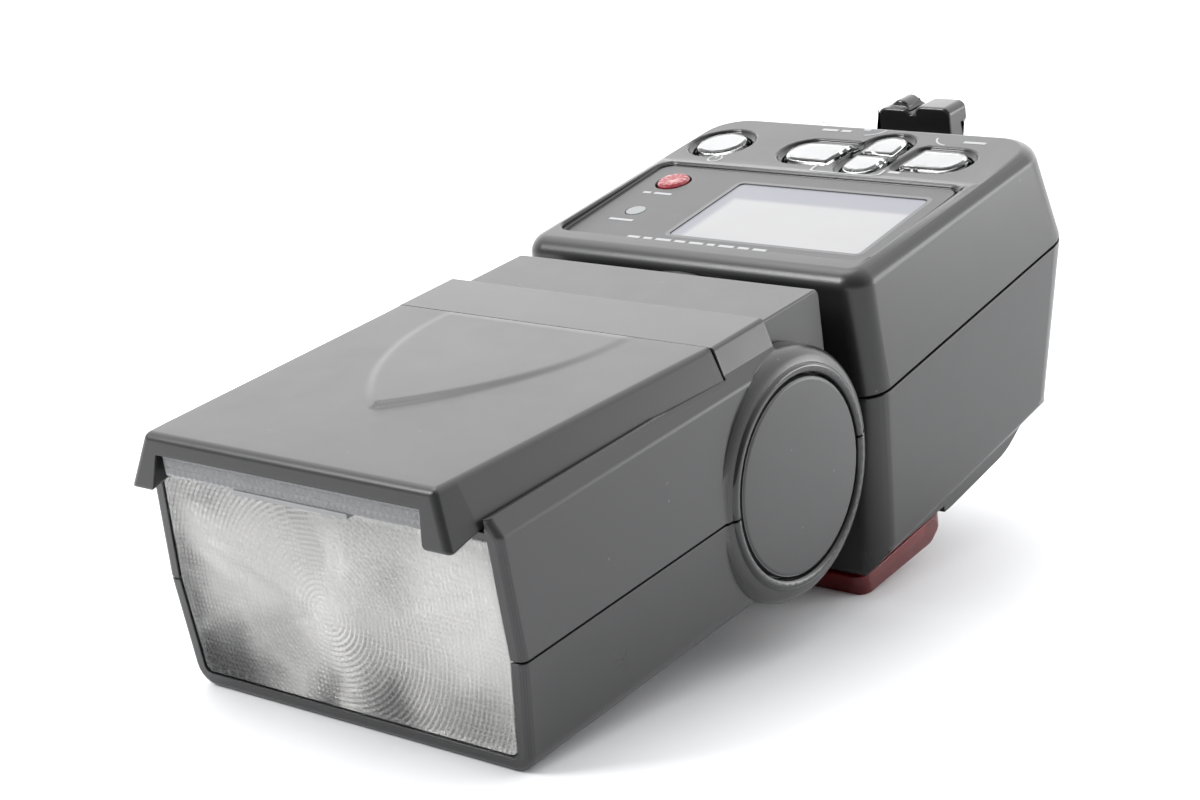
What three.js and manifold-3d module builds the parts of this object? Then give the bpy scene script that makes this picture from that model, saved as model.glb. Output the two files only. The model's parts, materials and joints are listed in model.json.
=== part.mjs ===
// A shoe-mount camera flash: a control unit with a display, keys and a battery chamber, a neck that swivels
// on it, a head that tilts on the neck, and a shoe foot with a locking lever. All sizes are in millimetres.
//
// The pieces are laid out in the flash's own axes: +X across it, +Y along it towards the foot and +Z out of
// the display, with the origin at the display edge of the control unit's head end. The last group turns and
// lifts the flash so that it lies on a floor at z = 0, on the head's front edge and the red window's edge.
// A list of six lengths is a block: its limits in x, in y and in z.
import * as THREE from 'three';
import { mergeVertices } from 'three/addons/utils/BufferGeometryUtils.js';
import Module from 'manifold-3d';

const GAP = 0.3; // running gap between neighbouring pieces
const FILLET_STEPS = 5;
const ROUND_STEPS = 32;
const FAR = 60; // further than any piece reaches, for cutting blocks

// Control unit. The top, seam and bottom lines all slope, so each has its height at both ends.
const BODY = {
  wall: 1.8,
  halfTop: 32.9,
  halfSeam: 34,
  halfBottom: 32.1,
  top: { near: 0, end: 59.5, rise: 4.1 },
  seam: { near: -19.8, end: 64.5, rise: 6.6 },
  bottom: { near: -46.6, end: 58.8, rise: 6.6 },
  nearCorner: 4.2,
  farCorner: 8,
  topEdge: 2.8,
  bottomEdge: 0.9,
};
// The underside bulges below the sides, behind a chamfer. Points are (y, z) along its lowest line.
const BELLY = {
  half: 28,
  drop: 4.2,
  line: [[0, -50.7, 1.5], [27, -50.1, 30], [46, -47.9, 16], [58.4, -41.5]],
};
// The display face is a plane inside a rim that stands up on three sides.
const FACE = { near: -1.3, slope: (BODY.top.rise + 1.3) / BODY.top.end, rimEnd: 36.5, wall: 2.1 };
const PANEL = { left: -29, right: 29.4, near: 6.5, far: 36, thick: 1.3, corner: 2 };
const SCREEN = { left: -10, right: 26.5, near: 10.1, far: 31.5, corner: 1.2 };
const SCREEN_OPENING = { left: -11, right: 27.4, near: 9.2, far: 32.4, corner: 1 };
const KEY = { top: 0.2, bottom: -2.6, clear: 0.35, edge: 0.4, dishDepth: 1.1, dishSpread: 1.2 };
const POWER_KEY = { x: -24.8, y: 47.2, radius: 4.5 };
const TEST_KEY = { x: -22.9, y: 29.7, radius: 2.8 };
const READY_LAMP = { x: -22, y: 17.5, radius: 1.5 };
// Behind the face, measured from it.
const LCD_MODULE = [-12.2, 28.2, 8, 33.4, -4.5, -2.5];
const KEY_MAT = [-30, 27, 38, 56, -4.6, -3.6];
const MAIN_BOARD = [-28, 28, 5, 55.5, -6.4, -4.9];

// Battery chamber: four AA cells, two by two, lying along the flash and loaded from the -X side.
const CELL = { diameter: 14.5, length: 50.5 };
const CHAMBER = { wall: 0.6, near: 5, low: -38, mouth: -30.2 };
CHAMBER.far = CHAMBER.near + CELL.length + 0.8 + 2 * CHAMBER.wall;
CHAMBER.high = CHAMBER.low + 2 * CELL.diameter + 0.4 + CHAMBER.wall;
CHAMBER.inner = CHAMBER.mouth + 2 * CELL.diameter + 1.6;
const DOOR = { inside: -30.6, near: 3.6, far: 60.3, low: -38.6, high: -8, slide: 3.5 };
const HINGE_STRIP = { outside: -32, near: 5, far: 40, low: -40.9 };
const DOOR_RIBS = { count: 5, pitch: 1.8, width: 0.8, near: 49, low: -30, high: -16, outside: -34.4 };
const CONTACT_PLATE = { inset: 3, thick: 0.25 };
const CAPACITOR = { radius: 7.2, x: 15.8, z: -28.6, near: 7, far: 50 };
const TRANSFORMER = [5, 18, 10, 26, -18.5, -10.5];
const POWER_BOARD = [26.4, 28, 8, 54, -36, -12];

// Red assist window under the control unit's head end.
const WINDOW = {
  half: 27.8,
  wall: 1.4,
  near: 0.5,
  lip: -51,
  bottom: -54.1,
  edge: 0.4,
  flatEnd: 20.8,
  end: 25,
  endLip: -49.4,
};
const ASSIST_OPENING = { half: 24, near: 4.5, far: 20.5, corner: 1.5 };
const ASSIST_LAMP = { y: 12.5, radius: 3.4, flange: 4.2, low: -49.5, flangeLow: -44.4, high: -43.2 };
const LAMP_BOARD = [-10, 10, 6, 19, -42.8, -41.6];

// Neck, with the tilt axis along X and the swivel axis along Y.
const TILT = { y: -21.4, z: -23.1 };
const NECK = { half: 28.6, top: -0.5, rear: -4.3, front: -20.4, barrel: 9, drop: 9.5, stub: 9.3, bore: 5 };
const SWIVEL_RING = { outer: 21, near: -3, far: -GAP };
const SWIVEL_PLATE = { radius: 15.5, near: 2.5, thick: 1.9 };
const SHAFT = { radius: 4, left: -31.1, right: 32.4 };

// Head.
const HEAD = {
  wall: 2.3,
  front: -84.3,
  frontEdge: 1.2,
  rear: -20.6,
  halfSeam: 33.5,
  halfShoulder: 31.2,
  halfSide: 32.7,
  halfBottom: 31.7,
  seam: TILT.z,
  shoulder: -3.4,
  sideTop: -5.6,
  bottom: -40.1,
  deck: -5,
  deckThick: 1.2,
  stripTop: 0.7,
  stripHalf: 29.9,
  backWall: -31.2,
};
const EAR = { radius: 19.2, inside: 29.2, outside: 33.9, round: 2.4 };
const BEAD = { inner: 15.3, outer: 16.7, height: 0.5 };
const PIVOT_CAP = { radius: 15, depth: 1.6, crown: 0.6 };
// The hood over the head's front half, at its rear end, at the lens and at its overhanging lip.
const HOOD = {
  wall: 1.8,
  lean: 2,
  stations: [
    { y: -33.2, halfTop: 29.4, halfLow: 31.2, top: 0.9, low: -2.8 },
    { y: -84.5, halfTop: 27.2, halfLow: 30, top: 2, low: -4.6 },
    { y: -90.5, halfTop: 26.9, halfLow: 29.8, top: 2.1, low: -6 },
  ],
};
const LENS = { front: -84.1, thick: 2.4 };
const WIDE_PANEL = { half: 24, front: -88.4, rear: -44, low: -3.4, high: -1.9 };
const PANEL_LIP = { thick: 1.8, low: -3.9, high: -0.1, tabHalf: 10.6, tabThick: 1.2, tabDrop: 0.7 };
const RELEASE_KEY = { radius: 5, inner: -33.3, outer: -36, floor: -31.3 };

// Zoom carriage: the reflector and tube ride on it. It rests at the wide-angle stop, next to the lens.
const CARRIAGE = { front: -61.8, thick: 2, half: 29, low: -36.2, high: -9.4 };
const REFLECTOR = { half: 24.8, rise: 13.4, depth: 16.8, back: -63.4, wall: 0.8 };
const TUBE = { half: 25.6, radius: 1.7, y: REFLECTOR.back - 2.2, hole: 2.1 };
const LEAD_SCREW = { x: 27.3, radius: 1.1, near: -43.2, far: -62.6 };
const GUIDE_RODS = { radius: 1, near: -34, far: -62.6, spots: [[-27.3, TILT.z], [27.3, -33]] };
const MOTOR = { radius: 3.5, near: -33.9, far: -42.9 };
const TRIGGER_COIL = [-10, 3, -42.6, -35, -20, -12];

// Shoe foot, centred on a line along Y.
const FOOT = {
  centre: -13.5,
  baseHalf: 14.5,
  baseLow: -26,
  baseHigh: -2,
  baseEnd: 69.8,
  neckHalf: 6.1,
  plateHalf: 9.3,
  plateLength: 18,
  plateTop: 74.9,
  end: 76.85,
};
const CONTACT = { radius: 0.9, depth: 1.4, proud: 0.25 };
const CONTACT_SPOTS = [[0, 0.2], [-4.2, -2.2], [4.2, -2.2], [-4.2, 3.4]];
const SCREW = { radius: 1, depth: 1.45, sunk: 0.2 };
const SCREW_SPOTS = [[-7.2, -7], [7.2, -7], [-7.2, 7], [7.2, 7]];
const LEVER = {
  near: 70.2,
  far: 74.4,
  ring: 11,
  bore: 8.9,
  tabHalf: 7.4,
  tabLow: -0.2,
  tabTop: 4.2,
  tabFar: 76.2,
};
const LOCK_PIN = { z: FOOT.centre - 4.6, radius: 1, near: 70.2, far: 76.6 };

const wasm = await Module();
wasm.setup();

// ---- Outlines -------------------------------------------------------------------------------------------

// Turns corners of [u, v, radius] into points, with an arc at each corner that has a radius.
function outline(corners, steps = FILLET_STEPS) {
  const points = [];
  corners.forEach(([u, v, radius = 0], i) => {
    const corner = new THREE.Vector2(u, v);
    if (radius === 0) {
      points.push(corner);
      return;
    }
    const toPrevious = new THREE.Vector2(...corners.at(i - 1)).sub(corner).normalize();
    const toNext = new THREE.Vector2(...corners[(i + 1) % corners.length]).sub(corner).normalize();
    const half = Math.acos(toPrevious.dot(toNext)) / 2;
    const inward = toPrevious.clone().add(toNext).normalize();
    const centre = corner.clone().addScaledVector(inward, radius / Math.sin(half));
    const start = corner.clone().addScaledVector(toPrevious, radius / Math.tan(half)).sub(centre);
    const end = corner.clone().addScaledVector(toNext, radius / Math.tan(half)).sub(centre);
    const turn = Math.atan2(start.cross(end), start.dot(end));
    for (let step = 0; step <= steps; step += 1) {
      points.push(start.clone().rotateAround(new THREE.Vector2(), (turn * step) / steps).add(centre));
    }
  });
  return points;
}

// Moves every edge of a convex outline inwards by a distance. A round corner keeps a trace of its radius, so
// that an outline and its insets have equally many points.
function inset(corners, distance) {
  const at = (i) => new THREE.Vector2(...corners.at(i % corners.length));
  const area = corners.reduce((sum, corner, i) => sum + at(i).cross(at(i + 1)), 0);
  const inwardOf = (from, to) => to.clone().sub(from).normalize().rotateAround(new THREE.Vector2(),
    (Math.sign(area) * Math.PI) / 2);
  return corners.map(([u, v, radius = 0], i) => {
    const before = inwardOf(at(i - 1), at(i));
    const after = inwardOf(at(i), at(i + 1));
    const reach = distance / (1 + before.dot(after));
    const move = before.add(after).multiplyScalar(reach);
    return [u + move.x, v + move.y, radius > 0 ? Math.max(radius - distance, 0.1) : 0];
  });
}

// The same corners on both sides of u = 0, from a right half that runs from top to bottom.
function mirrored(rightHalf) {
  const leftHalf = rightHalf.map(([u, v, radius]) => [-u, v, radius]).reverse();
  return [...rightHalf, ...leftHalf];
}

function rectangle(u0, u1, v0, v1, radius = 0) {
  return [[u0, v0, radius], [u1, v0, radius], [u1, v1, radius], [u0, v1, radius]];
}

function circle(radius, u = 0, v = 0, steps = ROUND_STEPS) {
  const points = [];
  for (let step = 0; step < steps; step += 1) {
    const angle = (2 * Math.PI * step) / steps;
    points.push(new THREE.Vector2(u + radius * Math.cos(angle), v + radius * Math.sin(angle)));
  }
  return points;
}

// ---- Solids ---------------------------------------------------------------------------------------------

function toSolid(geometry) {
  const bare = geometry.clone();
  bare.deleteAttribute('normal');
  bare.deleteAttribute('uv');
  const merged = mergeVertices(bare, 1e-4);
  return new wasm.Manifold(new wasm.Mesh({
    numProp: 3,
    vertProperties: merged.attributes.position.array,
    triVerts: new Uint32Array(merged.index.array),
  }));
}

function toGeometry(solid) {
  const mesh = solid.getMesh();
  const geometry = new THREE.BufferGeometry();
  geometry.setAttribute('position', new THREE.BufferAttribute(new Float32Array(mesh.vertProperties), 3));
  geometry.setIndex(new THREE.BufferAttribute(new Uint32Array(mesh.triVerts), 1));
  geometry.computeVertexNormals();
  return geometry;
}

function extruded(points, from, to, steps = 1) {
  const shape = new THREE.Shape(points);
  const geometry = new THREE.ExtrudeGeometry(shape, { depth: to - from, bevelEnabled: false, steps });
  return geometry.translate(0, 0, from);
}

const axisX = new THREE.Vector3(1, 0, 0);
const axisY = new THREE.Vector3(0, 1, 0);
const axisZ = new THREE.Vector3(0, 0, 1);
const PLAN_TO_X = new THREE.Matrix4().makeBasis(axisY, axisZ, axisX);
const PLAN_TO_Y = new THREE.Matrix4().makeBasis(axisX, axisZ, axisY.clone().negate());

// Points are (x, y).
function alongZ(points, z0, z1) {
  return toSolid(extruded(points, z0, z1));
}

// Points are (y, z).
function alongX(points, x0, x1) {
  return toSolid(extruded(points, x0, x1).applyMatrix4(PLAN_TO_X));
}

// Points are (x, z).
function alongY(points, y0, y1) {
  return toSolid(extruded(points, -y1, -y0).applyMatrix4(PLAN_TO_Y));
}

function block(x0, x1, y0, y1, z0, z1) {
  const box = new THREE.BoxGeometry(x1 - x0, y1 - y0, z1 - z0);
  return toSolid(box.translate((x0 + x1) / 2, (y0 + y1) / 2, (z0 + z1) / 2));
}

function rodY(radius, x, z, y0, y1, steps = ROUND_STEPS) {
  return alongY(circle(radius, x, z, steps), y0, y1);
}

function rodX(radius, y, z, x0, x1, steps = ROUND_STEPS) {
  return alongX(circle(radius, y, z, steps), x0, x1);
}

function rodZ(radius, x, y, z0, z1, steps = ROUND_STEPS) {
  return alongZ(circle(radius, x, y, steps), z0, z1);
}

// A turned piece on the X axis through (y, z), from points of (x, radius) that start and end on the axis.
function turnedX(profile, y, z, steps = ROUND_STEPS) {
  const points = profile.map(([x, radius]) => new THREE.Vector2(radius, x));
  const lathe = new THREE.LatheGeometry(points, steps);
  lathe.applyMatrix4(new THREE.Matrix4().makeBasis(axisY, axisX, axisZ.clone().negate()));
  return toSolid(lathe.translate(0, y, z));
}

// A closed skin through rings of equally many points, capped in the plane of two axes. Seen in that plane,
// the rings run clockwise and come towards the viewer.
function lofted(rings, across, up) {
  const count = rings[0].length;
  const index = [];
  for (let ring = 0; ring < rings.length - 1; ring += 1) {
    for (let i = 0; i < count; i += 1) {
      const a = ring * count + i;
      const b = ring * count + ((i + 1) % count);
      index.push(a, b + count, b, a, a + count, b + count);
    }
  }
  const flat = rings[0].map((point) => new THREE.Vector2(point[across], point[up]));
  const last = (rings.length - 1) * count;
  for (const [a, b, c] of THREE.ShapeUtils.triangulateShape(flat, [])) {
    index.push(a, c, b, last + a, last + b, last + c);
  }
  const geometry = new THREE.BufferGeometry();
  const places = rings.flat().flatMap((point) => point.toArray());
  geometry.setAttribute('position', new THREE.Float32BufferAttribute(places, 3));
  geometry.setIndex(index);
  return toSolid(geometry);
}

// How far an outline is drawn in, and how far it stands back, at each step round a rounded edge.
function roundedEdge(radius) {
  const steps = [];
  for (let step = 0; step <= FILLET_STEPS; step += 1) {
    const angle = (Math.PI / 2) * (step / FILLET_STEPS);
    steps.push({ drawnIn: radius * (1 - Math.cos(angle)), back: radius * (1 - Math.sin(angle)) });
  }
  return steps;
}

function joined(solids) {
  return solids.reduce((whole, solid) => whole.add(solid));
}

function mirroredX(solid) {
  return solid.mirror([1, 0, 0]);
}

// Moves each vertex of a geometry to where a function says.
function reshaped(geometry, place) {
  const position = geometry.attributes.position;
  const vertex = new THREE.Vector3();
  for (let i = 0; i < position.count; i += 1) {
    place(vertex.fromBufferAttribute(position, i));
    position.setXYZ(i, vertex.x, vertex.y, vertex.z);
  }
  return geometry;
}

// ---- Materials ------------------------------------------------------------------------------------------

function material(color, roughness, metalness = 0, opacity = 1) {
  return new THREE.MeshStandardMaterial({ color, roughness, metalness, opacity, transparent: opacity < 1 });
}

const SHELL = material(0x2f3034, 0.55);
const TRIM = material(0x232427, 0.6);
const BEZEL = material(0x55565a, 0.6);
const CLEAR_KEY = material(0xe9ebec, 0.25, 0, 0.8);
const CLEAR = material(0xe8eef0, 0.1, 0, 0.4);
const LCD_SILVER = material(0xc9ccd3, 0.3);
const RED_KEY = material(0xd87878, 0.3);
const RED_CLEAR = material(0x6a0508, 0.15, 0, 0.85);
const LAMP_GREY = material(0x9aa0a0, 0.4);
const STEEL = material(0xb4b6ba, 0.35, 0.9);
const BRASS = material(0xc0a050, 0.35, 0.9);
const BOARD = material(0x1f5a35, 0.6);
const RUBBER = material(0x3a3a3c, 0.9);
const MIRROR = material(0xf0f0ee, 0.1, 1);
const TUBE_GLASS = material(0xf2ead2, 0.1, 0, 0.6);
const CAN = material(0x20242c, 0.4);

function piece(name, solid, finish) {
  const mesh = new THREE.Mesh(toGeometry(solid), finish);
  mesh.name = name;
  return mesh;
}

// ---- Control unit ---------------------------------------------------------------------------------------

function lineHeight(line, y) {
  return line.near + (line.rise * y) / line.end;
}

// The body's plan at a share of the way from the seam to the top edge (1) or to the bottom edge (-1).
function bodyRing(share, drawnIn) {
  const { seam, top, bottom, halfSeam, halfTop, halfBottom, nearCorner, farCorner } = BODY;
  const edge = share > 0 ? top : bottom;
  const half = THREE.MathUtils.lerp(halfSeam, share > 0 ? halfTop : halfBottom, Math.abs(share));
  const end = THREE.MathUtils.lerp(seam.end, edge.end, Math.abs(share));
  const corners = [
    [-half, 0, nearCorner],
    [-half, end, farCorner],
    [half, end, farCorner],
    [half, 0, nearCorner],
  ];
  return outline(inset(corners, drawnIn), 8).map(({ x, y }) => {
    const z = THREE.MathUtils.lerp(lineHeight(seam, y), lineHeight(edge, y), Math.abs(share));
    return new THREE.Vector3(x, y, z);
  });
}

// The body's outer form without its belly, or the same form a distance inside it.
function bodyBox(depth) {
  const above = BODY.top.near - BODY.seam.near;
  const below = BODY.seam.near - BODY.bottom.near;
  const topRings = roundedEdge(BODY.topEdge)
    .map(({ drawnIn, back }) => bodyRing(1 - (back + depth) / above, drawnIn + depth));
  const lowRings = roundedEdge(BODY.bottomEdge)
    .map(({ drawnIn, back }) => bodyRing((back + depth) / below - 1, drawnIn + depth));
  return lofted([...lowRings.reverse(), bodyRing(0, depth), ...topRings], 'x', 'y');
}

// The bulge of the underside, which reaches up into the body so that the two join.
function bellySolid(depth) {
  const { half, drop, line } = BELLY;
  const { halfBottom, bottom, nearCorner, farCorner } = BODY;
  const reach = 8;
  const section = mirrored([[halfBottom, reach], [halfBottom, 0, 1.2], [half, -drop, 1], [half, -20]]);
  const geometry = extruded(outline(inset(section, depth)), -80, 10).applyMatrix4(PLAN_TO_Y);
  const sheared = toSolid(reshaped(geometry, (vertex) => {
    vertex.z += lineHeight(bottom, vertex.y);
  }));
  const far = line.at(-1)[0];
  const inside = bottom.near + reach;
  const side = alongX(outline(inset([[0, inside], ...line, [far, inside]], depth)), -FAR, FAR);
  const plan = [
    [-halfBottom, 0, nearCorner],
    [-halfBottom, bottom.end, farCorner],
    [halfBottom, bottom.end, farCorner],
    [halfBottom, 0, nearCorner],
  ];
  return sheared.intersect(side).intersect(alongZ(outline(inset(plan, depth), 8), -FAR, 0));
}

// The control unit's outer form, or the same form a distance inside it. Past the rim it is cut down to the
// display face.
function bodySolid(depth = 0) {
  const rimStep = 2.5;
  const cut = [
    [FACE.rimEnd, lineHeight(BODY.top, FACE.rimEnd) + 0.01],
    [FACE.rimEnd + rimStep, faceHeight(FACE.rimEnd + rimStep)],
    [80, faceHeight(80)],
    [80, 30],
    [FACE.rimEnd, 30],
  ];
  return bodyBox(depth).add(bellySolid(depth)).subtract(alongX(outline(cut), -FAR, FAR));
}

// Everything above (side 1) or below (side -1) the seam, less half the seam gap.
function besideSeam(side) {
  const y0 = -10;
  const y1 = 80;
  const edge = (y) => lineHeight(BODY.seam, y) + (side * GAP) / 2;
  return alongX(outline([[y0, edge(y0)], [y1, edge(y1)], [y1, side * FAR], [y0, side * FAR]]), -FAR, FAR);
}

function faceHeight(y) {
  return FACE.near + FACE.slope * y;
}

const FACE_FRAME = new THREE.Matrix4().makeRotationX(Math.atan(FACE.slope)).setPosition(0, 0, FACE.near);

function fromFace(solid) {
  return solid.transform(FACE_FRAME.elements);
}

const KEY_OUTLINES = {
  power_button: rectangle(
    POWER_KEY.x - POWER_KEY.radius, POWER_KEY.x + POWER_KEY.radius,
    POWER_KEY.y - POWER_KEY.radius, POWER_KEY.y + POWER_KEY.radius, POWER_KEY.radius - 0.01),
  mode_button: [[-10, 42.6, 3.6], [-0.2, 42.6, 0.6], [1, 50.4, 0.6], [-10, 50.4, 3.6]],
  plus_button: [[3.5, 47.6, 0.6], [9.9, 47.6, 0.6], [9.9, 54.8, 3.1], [3.5, 54.8, 3.1]],
  minus_button: [[3.5, 39.8, 3.1], [9.9, 39.8, 3.1], [9.9, 46.6, 0.6], [3.5, 46.6, 0.6]],
  zoom_button: [[13.6, 43, 0.6], [24.2, 43, 3.6], [24.2, 50.6, 3.6], [14.6, 50.6, 0.6]],
};

function keyHole(corners) {
  const hole = alongZ(outline(inset(corners, -KEY.clear)), -FAR, FAR);
  const bevel = { bevelThickness: KEY.dishDepth, bevelSize: KEY.dishSpread, bevelSegments: 3 };
  const shape = new THREE.Shape(outline(inset(corners, -KEY.clear - 0.1)));
  const dish = new THREE.ExtrudeGeometry(shape, { depth: 3, ...bevel });
  return fromFace(hole.add(toSolid(dish.translate(0, 0, 0.05))));
}

function panelRecess() {
  const opening = rectangle(PANEL.left, PANEL.right, PANEL.near, PANEL.far, PANEL.corner);
  const above = alongZ(outline(inset(opening, -0.8)), 0, 10);
  const seat = alongZ(outline(inset(opening, -GAP)), -PANEL.thick - 0.2, 10);
  const { left, right, near, far, corner } = SCREEN_OPENING;
  const aperture = alongZ(outline(rectangle(left, right, near, far, corner)), -10, 10);
  const testHole = rodZ(TEST_KEY.radius + KEY.clear, TEST_KEY.x, TEST_KEY.y, -10, 10);
  const lampHole = rodZ(READY_LAMP.radius + GAP, READY_LAMP.x, READY_LAMP.y, -10, 10, 16);
  return fromFace(joined([above, seat, aperture, testHole, lampHole]));
}

function chamberSpace(clear) {
  return block(-FAR, CHAMBER.inner + clear, CHAMBER.near - clear, CHAMBER.far + clear,
    CHAMBER.low - clear, CHAMBER.high + clear);
}

function doorRecess() {
  const beyond = BODY.seam.end + 5;
  const door = block(-FAR, DOOR.inside + GAP, DOOR.near - GAP, beyond, DOOR.low - GAP, DOOR.high + GAP);
  const strip = block(-FAR, DOOR.inside + GAP, HINGE_STRIP.near - GAP, HINGE_STRIP.far + DOOR.slide + GAP,
    HINGE_STRIP.low - GAP, DOOR.low);
  return door.add(strip);
}

// The hollow inside both shells, less a ledge around the mouth of the battery chamber.
function bodyHollow() {
  const ledge = block(-FAR, DOOR.inside + GAP + 1.6, DOOR.near - 2, DOOR.far - 1.5, HINGE_STRIP.low - 1.5,
    DOOR.high + 2);
  const aboveFace = fromFace(block(-FAR, FAR, -FAR, 2 * FAR, -FACE.wall, FAR));
  return bodySolid(BODY.wall).subtract(ledge).subtract(aboveFace);
}

// The belly is cut away below the assist window's upper edge.
function assistRecess() {
  const near = -5;
  const far = WINDOW.end + GAP;
  const side = [[near, WINDOW.lip + GAP], [near, -2 * FAR], [far, -2 * FAR], [far, WINDOW.endLip + GAP]];
  return alongX(outline(side), -FAR, FAR);
}

function assistAperture() {
  const { half, near, far, corner } = ASSIST_OPENING;
  return alongZ(outline(rectangle(-half, half, near, far, corner)), -FAR, BODY.bottom.near + 8);
}

function rearCover() {
  const keyHoles = joined(Object.values(KEY_OUTLINES).map(keyHole));
  return bodySolid()
    .subtract(bodyHollow())
    .intersect(besideSeam(1))
    .subtract(panelRecess())
    .subtract(keyHoles)
    .subtract(doorRecess())
    .subtract(chamberSpace(GAP))
    .subtract(neckPassage());
}

function frontShell() {
  return bodySolid()
    .subtract(assistRecess())
    .subtract(bodyHollow())
    .intersect(besideSeam(-1))
    .subtract(assistAperture())
    .subtract(doorRecess())
    .subtract(chamberSpace(GAP))
    .subtract(neckPassage());
}

function neckPassage() {
  return rodY(NECK.stub + GAP, 0, TILT.z, -5, BODY.wall + 2, 48);
}

function assistWindow() {
  const side = [
    [WINDOW.near, WINDOW.lip],
    [WINDOW.near, WINDOW.bottom, WINDOW.edge],
    [WINDOW.flatEnd, WINDOW.bottom + 0.5, 3],
    [WINDOW.end, -51, 1],
    [WINDOW.end - 0.5, WINDOW.endLip],
  ];
  const plan = rectangle(-WINDOW.half, WINDOW.half, WINDOW.near, WINDOW.end, 2.2);
  const outside = alongX(outline(side), -FAR, FAR).intersect(alongZ(outline(plan), -FAR, 0));
  const hollowSide = [
    [WINDOW.near + WINDOW.wall, WINDOW.bottom + WINDOW.wall],
    [WINDOW.flatEnd - 0.8, WINDOW.bottom + WINDOW.wall + 0.5],
    [WINDOW.end - 2.6, WINDOW.lip + 10],
    [WINDOW.near + WINDOW.wall, WINDOW.lip + 10],
  ];
  const hollow = alongX(outline(hollowSide), WINDOW.wall - WINDOW.half, WINDOW.half - WINDOW.wall);
  return outside.subtract(hollow);
}

function displayPanel() {
  const plate = alongZ(outline(rectangle(PANEL.left, PANEL.right, PANEL.near, PANEL.far, PANEL.corner)),
    -PANEL.thick, 0);
  const screen = rectangle(SCREEN.left, SCREEN.right, SCREEN.near, SCREEN.far, SCREEN.corner);
  return plate
    .subtract(alongZ(outline(inset(screen, -GAP)), -5, 5))
    .subtract(rodZ(TEST_KEY.radius + KEY.clear, TEST_KEY.x, TEST_KEY.y, -5, 5))
    .subtract(rodZ(READY_LAMP.radius + GAP, READY_LAMP.x, READY_LAMP.y, -5, 5, 16));
}

function displayWindow() {
  const screen = rectangle(SCREEN.left, SCREEN.right, SCREEN.near, SCREEN.far, SCREEN.corner);
  return alongZ(outline(screen), -PANEL.thick + 0.1, -0.15);
}

function key(corners) {
  return alongZ(outline(corners), KEY.bottom, KEY.top);
}

function roundKey(radius, x, y, top) {
  const skirt = rodZ(radius, x, y, KEY.bottom, top - KEY.edge, 24);
  return skirt.add(rodZ(radius - KEY.edge, x, y, KEY.bottom, top, 24));
}

function displayParts() {
  const group = new THREE.Group();
  group.applyMatrix4(FACE_FRAME);
  group.add(piece('display_panel', displayPanel(), BEZEL));
  group.add(piece('display_window', displayWindow(), CLEAR));
  group.add(piece('lcd_module', block(...LCD_MODULE), LCD_SILVER));
  group.add(piece('key_mat', block(...KEY_MAT), RUBBER));
  group.add(piece('main_board', block(...MAIN_BOARD), BOARD));
  group.add(piece('ready_lamp', roundKey(READY_LAMP.radius, READY_LAMP.x, READY_LAMP.y, 0.2), LAMP_GREY));
  group.add(piece('test_button', roundKey(TEST_KEY.radius, TEST_KEY.x, TEST_KEY.y, 0.6), RED_KEY));
  for (const [name, corners] of Object.entries(KEY_OUTLINES)) {
    group.add(piece(name, key(corners), CLEAR_KEY));
  }
  return group;
}

function batteryChamber() {
  const { wall, near, far, low, high, mouth, inner } = CHAMBER;
  return block(mouth, inner, near, far, low, high)
    .subtract(block(mouth - 1, inner - wall, near + wall, far - wall, low + wall, high - wall));
}

// A contact plate at one end of the chamber, which bridges the rows of cells. It starts at y.
function cellContacts(y) {
  const { low, high, mouth, inner } = CHAMBER;
  const { inset: margin, thick } = CONTACT_PLATE;
  return block(mouth + margin, inner - margin, y, y + thick, low + margin, high - margin);
}

function batteryDoor() {
  const slab = bodySolid().intersect(block(-FAR, DOOR.inside, DOOR.near, DOOR.far, DOOR.low, DOOR.high));
  const { count, pitch, width, near, low, high, outside } = DOOR_RIBS;
  const ribs = [];
  for (let i = 0; i < count; i += 1) {
    ribs.push(block(outside, DOOR.inside, near + i * pitch, near + i * pitch + width, low, high));
  }
  return joined([slab, ...ribs]);
}

function hingeStrip() {
  const { outside, near, far, low } = HINGE_STRIP;
  return block(outside, DOOR.inside, near, far, low, DOOR.low - GAP);
}

function capacitor() {
  const { radius, x, z, near, far } = CAPACITOR;
  return rodY(radius, x, z, near, far, 28);
}

function assistLamp() {
  const { y, radius, flange, low, flangeLow, high } = ASSIST_LAMP;
  return rodZ(radius, 0, y, low, high, 24).add(rodZ(flange, 0, y, flangeLow, high, 24));
}

function controlParts() {
  const group = new THREE.Group();
  group.add(piece('rear_cover', rearCover(), SHELL));
  group.add(piece('front_shell', frontShell(), SHELL));
  group.add(displayParts());
  group.add(piece('assist_window', assistWindow(), RED_CLEAR));
  group.add(piece('assist_lamp', assistLamp(), TRIM));
  group.add(piece('lamp_board', block(...LAMP_BOARD), BOARD));
  group.add(piece('battery_chamber', batteryChamber(), TRIM));
  group.add(piece('cell_contacts_near', cellContacts(CHAMBER.near + CHAMBER.wall + 0.05), STEEL));
  group.add(piece('cell_contacts_far', cellContacts(CHAMBER.far - CHAMBER.wall - 0.3), STEEL));
  group.add(piece('battery_door', batteryDoor(), SHELL));
  group.add(piece('door_hinge_strip', hingeStrip(), STEEL));
  group.add(piece('main_capacitor', capacitor(), CAN));
  group.add(piece('transformer', block(...TRANSFORMER), BRASS));
  group.add(piece('power_board', block(...POWER_BOARD), BOARD));
  group.add(piece('swivel_ring', swivelRing(), TRIM));
  return group;
}

// ---- Shoe foot ------------------------------------------------------------------------------------------

function footBase() {
  const { baseHalf, baseLow, baseHigh, baseEnd } = FOOT;
  return alongY(outline(rectangle(-baseHalf, baseHalf, baseLow, baseHigh, 4)), 58, baseEnd)
    .subtract(bodySolid(-GAP));
}

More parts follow.
